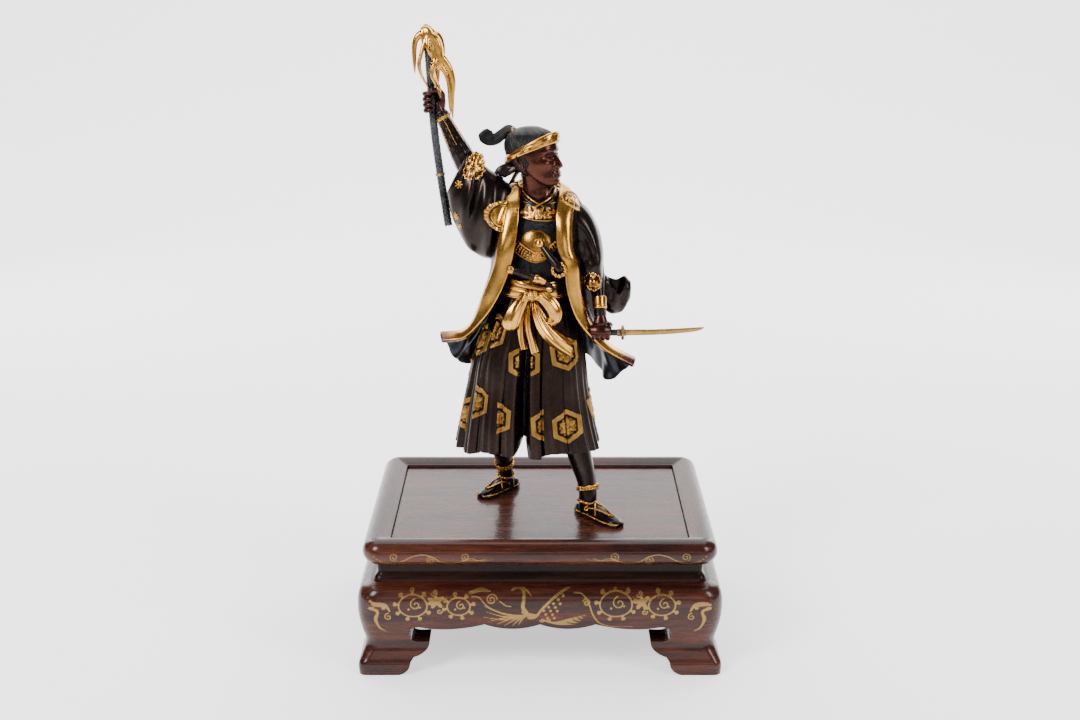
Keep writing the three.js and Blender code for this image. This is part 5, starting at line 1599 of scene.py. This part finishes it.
legs = {
    "right": {"shin": [[-28, -2, 146, 9, 9], [-27, 6, 126, 7, 7.4], [-25.2, 15, 112, 5.6, 6], [-24, 21, 101, 5.2, 5.6],
        [-23.2, 24.5, 90, 5.4, 5.6]], "heel": (-17, 30.6), "toe": (-41, 6.2), "rope": 0.545},
    "left": {"shin": [[22, -13, 146, 9.4, 9.4], [26.7, -16, 127, 8.1, 8.2], [31.4, -19, 110, 6.6, 6.8],
        [32.5, -21.5, 99, 6.1, 6.2], [32, -22.5, 90, 6, 6.2]], "heel": (26, -16.4), "toe": (52.6, -45.6), "rope": 0.6},
}
footRows = [[0, 2.6, 5.2], [0.1, 4.5, 8.4], [0.3, 5, 10.6], [0.5, 5.3, 8.8], [0.72, 5.9, 6.4], [0.9, 5.4, 5.2],
    [1, 3.2, 3.6]]
shoe = {"sole": 1.5, "floor": 86.5, "cord": 0.0006}


def makeLeg(name, leg):
    heel, toe = array(leg["heel"], float), array(leg["toe"], float)
    along = toe - heel
    across = array([-along[1], along[0], 0]) / linalg.norm(along)
    floor = shoe["floor"]
    rows = [[*(heel + along * s), floor + h / 2 - 0.4, a, h / 2 + 0.4] for s, a, h in footRows]
    foot = fuse(meshObject(name + "Foot", [tube(rows, across, steps=60, sides=48),
        tube([[*r[:3], r[3] * 0.92, r[4] * 0.92] for r in leg["shin"][-3:]], steps=20, sides=32)], "coatBronze"), 0.42,
        relax=4)
    below = [(-60, floor - 14), (80, floor - 14), (80, floor + 0.05), (-60, floor + 0.05)]
    cutAway(foot, meshObject("below", [prism(below, 140)], None))
    keep(foot)
    # sandal sole: follows the foot's plan, a little wider
    s = linspace(0, 1, 40)
    width = readRows([[a] for _, a, _ in footRows], interp(s, [r[0] for r in footRows], linspace(0, 1, 7)))[:, 0]
    half = width * 0.97 + 0.55
    line = heel + along * (s * 1.03 - 0.015)[:, None]
    edge = vstack([line + across[:2] * half[:, None], (line - across[:2] * half[:, None])[::-1]])
    ring = lambda size, z: column_stack([edge.mean(0) + (edge - edge.mean(0)) * size, full(len(edge), z)])
    sole = meshObject(name + "Sole", [ringsShape([ring(0.985, floor + 0.02), ring(1, floor + 0.3),
        ring(1, floor + shoe["sole"] - 0.3), ring(0.985, floor + shoe["sole"])])], "ironGrey")
    keep(sharpen(sole, 50))
    plain = meshObject(name + "Plain", [tube(rows, across, steps=60, sides=48)], None)
    surface = surfaceOf(plain)
    bpy.data.objects.remove(plain)
    rim = vstack([ring(1, floor + 2.1), ring(1, floor + 2.1)[:1]])
    centre = array([*edge.mean(0), floor + 2.1])
    paths = [array([surface.find_nearest(Vector(p))[0] for p in rim]) + unit(rim - centre) * 0.3]
    reach = lambda share: interp(share, [r[0] for r in footRows], [r[1] for r in footRows])
    top = lambda share, side: heel + along * share + across[:2] * side * reach(share)
    for start, end in (((0.34, 1), (0.86, 0.12)), ((0.34, -1), (0.86, -0.12)), ((0.3, 1), (0.56, -1)),
            ((0.3, -1), (0.56, 1))):
        flat = array([top(*start) * (1 - k) + top(*end) * k for k in linspace(0, 1, 26)])
        bowed = lay(surface, column_stack([flat, full(26, floor + 3)]), (0, 0, -1))
        paths.append(bowed + [0, 0, 0.4])
    keep(alongPaths(name + "FootCords", ropeTree, paths, "gilt", radius=shoe["cord"], twist=2400.0), "gilt")
    show(name + "Shin", [tube(leg["shin"], steps=40, sides=56)], "coatBronze")
    rings = [onSkin(leg["shin"], full(48, leg["rope"] + k * 0.034), angles(48), 0.45) for k in (-0.5, 0.5)]
    rings += [onSkin(leg["shin"], leg["rope"] + 0.235 + 0.03 * cos(angles(48)), angles(48), 0.3)]
    keep(alongPaths(name + "Anklet", ropeTree, rings, "gilt", closed=True, radius=0.00095, twist=1100.0), "gilt")


for name, leg in legs.items():
    makeLeg(name, leg)
print("stage: legs and feet")


# Torch, swords and baton

torchRows = [[-60.6, 3.4, 282.3, 2.9, 2.9], [-65.2, 5.6, 314, 2.6, 2.6], [-69, 7.4, 346, 2.5, 2.5],
    [-71, 9.4, 379, 2.2, 2.2]]
flameCrown = [[-73, 11, 409.3, 1.6, 1.6], [-73, 11, 408.2, 3.2, 3.2], [-72.8, 10.8, 405.6, 4.7, 4.4],
    [-71.8, 10.6, 402.4, 5.5, 4.8], [-69.2, 10.4, 399.2, 6.6, 5], [-67.4, 10.2, 395.6, 6, 5],
    [-66.6, 10, 391.6, 5.3, 4.6], [-66.2, 9.6, 387.6, 5.1, 4], [-65.6, 9.2, 384, 4, 3.2], [-65.6, 9, 381.4, 1.8, 1.6]]
flameTongues = [
    [[-74.6, 9.8, 404.6, 2.6, 2.6], [-78, 9.4, 402.6, 2.3, 2.2], [-80.2, 9.2, 398.6, 1.9, 1.8],
        [-80.8, 9, 392.4, 1.6, 1.6], [-80.8, 8.8, 385.4, 1.2, 1.2], [-80.7, 8.5, 379, 0.35, 0.35]],
    [[-71.8, 10, 404.6, 2.4, 2.2], [-73.2, 7.8, 400.4, 1.9, 1.8], [-74.8, 6.4, 396, 1.5, 1.4],
        [-76.2, 5.6, 391, 1.3, 1.3], [-77.6, 5.2, 385.4, 1.35, 1.3], [-76.8, 5, 380, 1.2, 1.2],
        [-74.6, 5, 375, 0.95, 0.95], [-71.7, 5.2, 369.4, 0.35, 0.35]],
    [[-71.8, 9, 404, 2.2, 2], [-71.9, 6.6, 400, 1.6, 1.5], [-71.8, 5.4, 396, 1.3, 1.2], [-71, 5.6, 392.4, 0.9, 0.9],
        [-70.4, 6.6, 390, 0.4, 0.4]],
    [[-66.8, 9.6, 393, 2.4, 2.4], [-67, 8, 389, 2.2, 2.2], [-67.9, 6, 385, 1.8, 1.7], [-69.3, 5.2, 381, 1.5, 1.4],
        [-68.6, 5.2, 376.6, 1.6, 1.5], [-66.2, 4.8, 372.1, 1.6, 1.4], [-64.7, 3.4, 368, 1.3, 1.1],
        [-64, 2.4, 364, 0.4, 0.4]],
    [[-64.6, 10, 390, 3, 2.8], [-61.4, 10, 386.6, 2.6, 2.4], [-58.6, 10.2, 382.4, 2.2, 2.1], [-56.9, 10.5, 377, 2, 1.9],
        [-56.3, 10.8, 371.6, 1.8, 1.7], [-56.9, 11, 364, 1.5, 1.5], [-57, 11, 356.6, 1.15, 1.1],
        [-56.8, 11, 349.6, 0.35, 0.35]],
    [[-66, 9, 386, 2.6, 2.4], [-63, 8.8, 382.6, 2, 1.9], [-60.6, 8.8, 378.4, 1.6, 1.5], [-59.2, 9, 373, 1.35, 1.3],
        [-58.7, 9.2, 366, 1.1, 1.1], [-58.6, 9.4, 359.6, 0.9, 0.9], [-58.2, 9.6, 353, 0.3, 0.3]],
    [[-68, 13, 399, 3.6, 3.2], [-67.4, 15.6, 388, 2.6, 2.4], [-66.6, 15.4, 379, 1.8, 1.8],
        [-66, 14.6, 371.6, 0.4, 0.4]],
]


def makeTorch():
    rod = [*torchRows, [-71.8, 9.8, 393, 2.2, 2.2]]  # the rod runs on inside the flame
    core = meshObject("torchCore", [tube(rod, steps=80, sides=28, grow=-0.75)], "ironGrey")
    path = readRows(rod, linspace(0, 1, 140))[:, :3]
    braid = alongPaths("torchBraid", braidTree, [path], "braidSteel", radius=0.0020, strand=0.0007, row_spacing=0.0027,
        strands=6)
    keep(joinPieces("torchShaft", [core, braid]), "iron_grey", "torch_shaft")
    ring = [onSkin(torchRows, full(32, 0.33 + k * 0.008), angles(32), 0.25) for k in (0, 1)]
    keep(alongPaths("torchBands", ropeTree, ring, "guardCopper", closed=True, radius=0.0005, twist=1200.0), "iron_grey",
        "torch_shaft")
    grooves = lambda t, angle: 1 + 0.11 * cos(5 * angle + 2.5 * t) * sin(pi * clip(t, 0, 1)) ** 0.5
    shapes = [tube(flameCrown, steps=48, sides=60, section=grooves)] + [tube(rows, steps=44, sides=28)
        for rows in flameTongues]
    keep(fuse(meshObject("torchFlame", shapes, "gilt"), 0.3), "gilt", "torch_flame")
    knot = [onSkin([[-67.4, 6.4, 386.8, 2.5, 2.2], [-68.9, 5.4, 382.4, 1.6, 1.5]], full(32, k), angles(32), 0.15)
        for k in (0.35, 0.7)]
    keep(alongPaths("flameKnot", ropeTree, knot, "gilt", closed=True, radius=0.0005, twist=1200.0), "gilt",
        "torch_flame")


hilt = {"y": -20, "z": 213.6, "start": 31, "end": 53.6}


def makeSword():
    y, z, start, end = hilt["y"], hilt["z"], hilt["start"], hilt["end"]
    show("swordHilt", [tube([[start, y, z, 2, 1.6], [end, y, z, 2.1, 1.7]], (0, 0, 1), steps=160, sides=40,
        section=lambda t, angle: 1 + 0.07 * maximum(cos(turn * 6 * t + angle) ** 8, cos(turn * 6 * t - angle) ** 8))],
        "ironGrey", "iron_grey", "sword")
    collars = [tube([[x - w, y, z, r, r * 0.84], [x + w, y, z, r, r * 0.84]], (0, 0, 1), steps=4, sides=36)
        for x, w, r in ((start + 0.6, 0.7, 2.35), (end - 1.6, 0.8, 2.5), (end + 2.4, 0.5, 2.3))]
    show("hiltCollars", collars, "guardCopper", "gilt", "sword")
    lobed = lambda t, angle: 1 + 0.035 * cos(4 * angle)
    plate = [[end - 0.3, y, z, 4.1, 3.7], [end - 0.1, y, z, 4.6, 4.2], [end + 0.7, y, z, 4.75, 4.35],
        [end + 1.5, y, z, 4.6, 4.2], [end + 1.7, y, z, 4.1, 3.7]]
    show("swordGuard", [tube(plate, (0, 0, 1), steps=16, sides=64, section=lobed, soft=False)], "guardCopper", "gilt",
        "sword")
    t = linspace(0, 1, 110)
    table = readRows([[end + 1, z, 2.1], [64, z + 0.1, 2.15], [74, z + 0.25, 2.05], [86, z + 0.8, 1.95],
        [96, z + 1.5, 1.75], [103, z + 2.2, 1.5], [106.4, z + 2.9, 0.9], [108, z + 3.5, 0.15]], t)
    outline = [(-1, 0), (-0.8, 0.34), (-0.4, 0.62), (0.2, 0.78), (0.55, 0.8), (0.85, 0.66), (1, 0.3), (1, -0.3),
        (0.85, -0.66), (0.55, -0.8), (0.2, -0.78), (-0.4, -0.62), (-0.8, -0.34)]
    rings = []
    for x, middle, half in table:
        thin = 0.75 * min(1, half / 1.4)
        rings.append([[x, y + thin * d, middle + half * u * 0.92] for u, d in outline])
    blade = meshObject("swordBlade", [ringsShape(rings)], "brass")
    sharpen(blade, 28)
    keep(blade, "blade", "sword")


shortSwordRows = [[-19.6, -24.6, 257, 2.9, 2.6], [-16, -25, 256, 2.5, 2.3], [-6, -25.6, 252.8, 2.5, 2.3],
    [-1.5, -25.2, 250.8, 2.9, 2.7], [3, -24.6, 248.4, 2.4, 2], [8.4, -23.4, 243, 2.2, 1.8]]
batonRows = [[1.6, -20.6, 271.6, 2.2, 2.2], [6.6, -25, 265.6, 2.5, 2.5], [11, -28.2, 260.6, 2.7, 2.7],
    [13, -29.2, 258.2, 2.6, 2.6]]
batonCup = {"centre": (12.2, -27.6, 257.6), "facing": (-0.1, -1, 0.25), "radius": 4.1, "wall": 0.8, "deep": 3.4}


def partOf(rows, start, end, grow=0, count=10):  # part of a table of rows
    table = readRows(rows, linspace(start, end, count))
    table[:, 3:5] += grow
    return table.tolist()


def makeShortSword():
    wrap = lambda t, angle: 1 + 0.08 * maximum(cos(turn * 4.5 * t + angle) ** 6, cos(turn * 4.5 * t - angle) ** 6)
    grip = tube(partOf(shortSwordRows, 0.1, 0.56, -0.15), (0, 0, 1), steps=120, sides=44, section=wrap)
    sheath = tube(partOf(shortSwordRows, 0.6, 1, 0), (0, 0, 1), steps=40, sides=36)
    show("shortSwordGrip", [grip], "coatBronze", "iron_grey", "short_sword")
    show("shortSwordSheath", [sheath], "coatBronze", "iron_grey", "short_sword")
    fittings = [tube(partOf(shortSwordRows, a, b, grow, 5), (0, 0, 1), steps=14, sides=36)
        for a, b, grow in ((0, 0.13, 0.15), (0.52, 0.56, 0.35), (0.585, 0.635, 0.5), (0.66, 0.675, 0.4),
        (0.71, 0.725, 0.4), (0.76, 0.775, 0.4))]
    pommel = ball((-19, -24.7, 256.9), (2.6, 2.7, 2.9))
    show("shortSwordFittings", fittings + [pommel], "gilt", "gilt", "short_sword")


def makeBaton():
    show("batonRod", [tube(batonRows, steps=40, sides=36)], "coatBronze", "iron_grey", "baton")
    c = batonCup
    facing = unit(c["facing"])
    side = unit(cross(facing, (0, 0, 1)))
    up = cross(side, facing)
    angle = angles(64)[:, None]
    ring = lambda radius, out: array(c["centre"]) + (side * cos(angle) + up * sin(angle)) * radius + facing * out
    r, w, deep = c["radius"], c["wall"], c["deep"]
    bowl = [ring(r * 0.35, -deep), ring(r * 0.8, -0.8 * deep), ring(r, -0.4 * deep), ring(r + 0.1, 0),
        ring(r - 0.2, 0.2), ring(r - w, -0.1), ring(r - w - 0.1, -0.4 * deep), ring(r * 0.5, -0.65 * deep)]
    show("batonMouth", [ringsShape(bowl)], "faceCopper", "iron_grey", "baton")
    rims = [ring(r - 0.3, 0.3), ring(r + 0.25, -0.5)]
    keep(alongPaths("batonRim", ropeTree, rims, "gilt", closed=True, radius=0.0009, twist=900.0), "gilt", "baton")


makeTorch()
makeSword()
makeShortSword()
makeBaton()
print("stage: torch, swords and baton")


# Gilt ornament on the cloth and the armour

kikkoLook = {"radius": 11.8, "height": 0.85}
kikkoPlaces = [  # azimuth, height, how far it shows to its left and right, lean in degrees, breadth
    (-52.4, 151.2, -20, 20, 2, 1.04), (-72.7, 153.2, -20, -1.4, 2, 1), (-119.4, 157.6, 1.4, 20, -2, 1.05),
    (-146, 166.4, -0.4, 20, 0, 1), (-95.4, 195.4, 3.4, 20, 0, 1), (-95.4, 195.4, -20, -2.6, 0, 1),
    (-141, 214.6, -1.6, 20, -8, 0.9), (-50, 200.4, -20, 20, 6, 1), (6, 159.5, -20, 20, 0, 1),
    (-166, 207, -20, 20, 0, 1), (52, 190, -20, 20, 5, 1), (78, 156, -20, 4, 0, 1),
    (106, 196, -3, 20, -4, 1), (128, 158, -20, 20, 3, 1), (158, 186, -20, 20, 0, 1), (202, 156, -20, 1, 0, 1),
]


def clipped(outline, low, high):  # an outline that stops where a pleat hides it
    def reach(angle):
        r = outline(angle)
        c = cos(angle)
        r = np.where(c > 1e-6, minimum(r, high / maximum(c, 1e-6)), r)
        return np.where(c < -1e-6, minimum(r, low / minimum(c, -1e-6)), r)
    return reach


def kikkoOutline(radius, twist, wide):  # a hexagon that stands on its point, stretched sideways
    whole = polygonOutline(radius, 6, twist)
    return lambda angle: whole(arctan2(sin(angle), cos(angle) / wide)) / hypot(cos(angle) / wide, sin(angle))


def kikkoRelief(radius, twist, low, high, wide):  # a broad plain border, sunk ground and a six-petalled flower
    whole = polygonOutline(radius, 6, twist)

    def relief(share, angle, u, v):
        turned = arctan2(v, u / wide)
        own = hypot(u / wide, v) / whole(turned)
        turned = turned - twist
        lobe = np.abs(cos(3 * turned)) ** 0.7
        border = 0.8 * ridge(own, 0.72, 1.2, 0.04)
        flower = (0.35 + 0.4 * lobe) * ridge(own, 0.16, 0.38 + 0.15 * lobe, 0.06) + 0.7 * ridge(own, -1, 0.1, 0.05)
        leaves = 0.4 * ridge(own, 0.46, 0.6, 0.05) * clip(-cos(6 * turned), 0, 1)
        fade = clip((u - low) / 0.8, 0, 1) * clip((high - u) / 0.8, 0, 1)  # it dips where a pleat hides it, and there the finish darkens it as painted shade of the pleat
        return kikkoLook["height"] * (0.08 + maximum(maximum(border, flower), leaves)) * fade
    return relief


def sidePart(surface, centre, outward, outline, relief, low, high, shift):
    right = unit(cross(-outward, (0, 0, 1)))
    steps = linspace(0, 12, 241)

    def own(angle):  # how far the hexagon reaches from the part's middle
        u, v = shift + steps * cos(angle)[..., None], steps * sin(angle)[..., None]
        inside = (hypot(u, v) < outline(arctan2(v, u))) & (u > low) & (u < high)
        return steps[maximum(np.argmin(inside, axis=-1) - 1, 1)]
    shifted = lambda share, angle, u, v: relief(share, angle, u + shift, v)
    return medal(surface, centre + right * shift, -outward, own, shifted, rings=30, sides=148, sink=1)


def makeKikko():
    surface = surfaceOf(hakama)
    parts = []
    for azimuth, z, low, high, lean, wide in kikkoPlaces:
        x, y, a, b = readRows(hakamaRows, [shareAt(hakamaRows, z)])[0][1:]
        c, s = cos(radians(azimuth)), sin(radians(azimuth))
        outward = unit([c / a, s / b, 0])
        centre = array([x + a * c, y + b * s, z])
        twist = radians(lean + 30)
        outline = kikkoOutline(kikkoLook["radius"], twist, wide)
        relief = kikkoRelief(kikkoLook["radius"], twist, low, high, wide)
        if low > 0 or high < 0:  # only a part beyond its middle shows: it is laid round that part's own middle
            shift = (max(low, -10) + min(high, 10)) / 2
            parts.append(sidePart(surface, centre, outward, outline, relief, low, high, shift))
            continue
        parts.append(medal(surface, centre, -outward, clipped(outline, low, high), relief, rings=36, sides=148, sink=1))
    keep(reliefObject("kikkoCrests", parts, "kikkoGilt"), "gilt")


def beadedCrest(radius):  # a plain disc in a beaded, scalloped rim
    def relief(share, angle, u, v):
        share = hypot(u, v) / radius
        beads = 0.4 + 0.6 * np.abs(cos(13 * angle))
        scallops = 0.5 * ridge(share, 0.78, 0.86 + 0.1 * np.abs(cos(13 * angle)), 0.04)
        pearls = 0.75 * beads * ridge(share, 0.86, 0.98, 0.06)
        disc = (0.42 + 0.3 * sqrt(clip(1 - (share / 0.72) ** 2, 0, 1))) * ridge(share, -1, 0.7, 0.04)
        return 0.08 + maximum(maximum(disc, scallops), pearls)
    return relief


def leafOutline(radius, point=1.45, squeeze=0.82):  # a drop that comes to a point upwards
    def outline(angle):
        up = maximum(sin(angle), 0)
        return radius * (squeeze + (point - squeeze) * up ** 5 + 0.05 * cos(15 * angle))
    return outline


def scatterLeaves(count, wide, high, size, seed):  # curling leaves over an oval, mirrored
    rng = np.random.default_rng(seed)
    leaves = []
    while len(leaves) < count:
        x, y = rng.uniform(0, wide), rng.uniform(-high, high)
        if (x / wide) ** 2 + (y / high) ** 2 > 0.95:
            continue
        lean, length = rng.uniform(-70, 70), size * rng.uniform(0.8, 1.3)
        leaves += [(x, y, lean, length, length * 0.5), (-x, y, 180 - lean, length, length * 0.5)]
    return leaves


def floret(petals):  # a small flower
    def relief(share, angle, u, v):
        body = clip(1 - (share / (0.75 + 0.25 * cos(petals * angle))) ** 2, 0, 1) ** 0.5
        petal = 0.55 * body * (0.7 + 0.3 * cos(petals * angle)) * (share > 0.22)
        return 0.1 + petal + 0.6 * ridge(share, -1, 0.2, 0.06)
    return relief


def roundOutline(radius, scallops=0, depth=0):
    return lambda angle: radius * (1 + depth * cos(scallops * angle) if scallops else np.ones_like(angle))


def foliage(leaves, beads):  # curling leaves inside a beaded rim
    field = leafField(leaves)

    def relief(share, angle, u, v):
        rim = (0.35 + 0.35 * np.abs(cos(beads * angle / 2))) * ridge(share, 0.85, 1.2, 0.05)
        return maximum(field(share, angle, u, v) * (share < 0.85), 0.08 + rim)
    return relief


def makeCrests():
    cloth = surfaceOf(coat, rightSleeve, leftSleeve)
    crests = [
        ((-23.4, -15, 290.2), (0.35, 0.9, -0.2), 10.2, -20, 1.6, 1.1), ((0, 24, 283), (0, -1, -0.1), 9, -20, 20, 0.4),
        ((-38, 14, 300), (0.1, -1, 0), 6.5, -20, 20, 0.4), ((38, 10, 272), (-0.45, -0.9, 0), 6.5, -20, 20, 0.4),
    ]
    parts = [medal(cloth, centre, way, clipped(roundOutline(radius, 13, 0.02), low, high), beadedCrest(radius),
        rings=34, sides=156, sink=4 if even > 1 else 2, even=even) for centre, way, radius, low, high, even in crests]
    # the left shoulder's crest lies over the band as well
    shoulder = surfaceOf(coat, leftSleeve, lapelBand)
    wide = lambda angle: roundOutline(8.6, 13, 0.02)(angle) * (1 - 0.16 * sin(angle) ** 2)
    parts.append(medal(shoulder, (21.2, -8, 299.4), (-0.2, 0.6, -0.78), wide,
        foliage(scatterLeaves(22, 6.6, 5.6, 1.9, 8), 34), rings=34, sides=156, sink=2, even=0.3))
    parts.append(medal(cloth, (-43.4, -9, 319.2), (0.25, 0.95, -0.1), leafOutline(8),
        foliage(scatterLeaves(20, 5.6, 8.6, 2.2, 3) + [(0, 5, 90, 4.5, 2), (0, -2, 90, 3.2, 2.2)], 30), rings=34,
        sides=150, sink=2, even=0.3, up=(0.15, 0, 1)))
    for x, z, radius in ((-51.2, 310, 2.7), (-54.4, 288.6, 2.8), (-51.2, 282.6, 2.3)):
        parts.append(medal(cloth, (x, -6, z), (0.35, 0.9, 0), roundOutline(radius, 7, 0.08), floret(7), rings=12,
            sides=84))
    parts.append(medal(cloth, (34.4, -19.5, 247.6), (-0.1, 1, 0.15), roundOutline(5.6, 9, 0.06),
        foliage(scatterLeaves(12, 4, 4, 2.2, 5), 22), rings=26, sides=110, sink=1.6, even=0.2))
    keep(reliefObject("coatCrests", parts), "gilt")


discLook = {"radius": 10.2, "boss": 3, "bossHeight": 2.4, "dish": 1.3}
garland = {
    "middle": [[-16, 271.5], [-11.7, 268.4], [-7.5, 266], [-3.3, 264.4], [1, 264.8], [5.2, 267.4], [8.8, 270.8],
        [11, 273]],
    "half": [3.2, 3.3, 3.4, 3.3, 2.9, 2.3, 1.8, 1.4], "rosette": (-2, 265.4), "cord": 0.00055, "bead": 0.00078,
}


def laidPath(points, proud, surface=None, soft=0):  # a line given as x, z laid on the chest
    met = lay(surface or chestSurface, [[x, -20, z] for x, z in points], (0, 1, 0))
    for _ in range(soft):
        met[1:-1, 1] = (met[:-2, 1] + met[1:-1, 1] + met[2:, 1]) / 3
    return met - [0, proud, 0]


def makeGarland():  # a beaded band that hangs below the disc
    g = garland
    t = linspace(0, 1, 60)
    line = readRows(g["middle"], t)
    half = readRows([[h] for h in g["half"]], t)
    across = gradient(line, axis=0)
    across = unit(column_stack([-across[:, 1], across[:, 0]]))
    ground = surfaceOf(cuirass, breastPlate, chestOrnament)
    rows = {k: laidPath(line + across * half * k, 0.9, ground, 12) for k in (-1, -0.5, 0, 0.5, 1)}
    keep(strip("garlandBand", rows[1].tolist()[::4], rows[-1].tolist()[::4], 1.8, "coatBronze", crown=0), "gilt")
    cords = [rows[k] - [0, 0.2, 0] for k in (-1, 1)]
    keep(alongPaths("garlandCords", ropeTree, cords, "gilt", radius=g["cord"], twist=2400.0), "gilt")
    beads = [rows[k] - [0, 0.3, 0] for k in rows if abs(k) < 0.9]
    keep(alongPaths("garlandBeads", beadTree, beads, "gilt", bead_radius=g["bead"], spacing=0.0023), "gilt")
    x, z = g["rosette"]
    rose = lambda share, angle, u, v: 1.2 + 1.4 * floret(8)(share, angle, u, v)
    part = medal(ground, (x, -20, z), (0, 1, 0), roundOutline(3, 8, 0.08), rose, rings=18, sides=96, sink=0.8, even=0.2)
    keep(reliefObject("garlandRosette", [part]), "gilt")


def makeChestOrnament():
    d = discLook
    scroll = leafField(scatterLeaves(48, 12.5, 4.6, 2.1, 11)
        + [(0, 0, 90, 3.4, 2.4), (-3, -1.4, 200, 3, 1.6), (3, -1.4, -20, 3, 1.6)])
    oval = lambda angle: 1 / sqrt((cos(angle) / 13.4) ** 2 + (sin(angle) / 4.4) ** 2) * (1 + 0.05 * cos(14 * angle))
    parts = [medal(chestSurface, (-1, -16, 293.2), (0, 1, -0.35), oval, scroll, rings=44, sides=260)]

    def disc(share, angle, u, v):
        boss = d["bossHeight"] * sqrt(clip(1 - ((u - 2.4) ** 2 + (v - 2) ** 2) / d["boss"] ** 2, 0, 1))
        dish = 0.5 + d["dish"] * clip(1 - share ** 2, 0, 1) ** 0.5
        rim = 1.1 * ridge(share, 0.88, 1.2, 0.05)
        return 0.5 + maximum(np.where(boss > 0, dish + boss, dish), rim)
    parts.append(medal(chestSurface, (-2.6, -20, 271.8), (0, 1, 0), roundOutline(d["radius"]), disc, rings=44,
        sides=132))
    made = keep(reliefObject("chestOrnament", parts), "gilt")
    lines = [[(-15.5, 290.6), (-8, 288.6), (-1, 287.6), (6, 287.4), (13, 287.8)], [(4.5, 298.4), (8, 298), (12, 298.6)],
        [(-14.5, 299.4), (-10, 298.6), (-7, 298.2)]]
    cords = []
    for line in lines:
        flat = readRows(line, linspace(0, 1, 40))
        cords.append(cord(laidPath(flat, 0.15)[::3], 0.5, steps=80))
    show("chestPiping", cords, "gilt", "gilt")
    return made


makeKikko()
makeCrests()
chestOrnament = makeChestOrnament()
makeGarland()
print("stage: ornaments")


for made, slot, nodes in kept:
    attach(made, "root")
    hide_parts(*nodes)

print("stage: done")
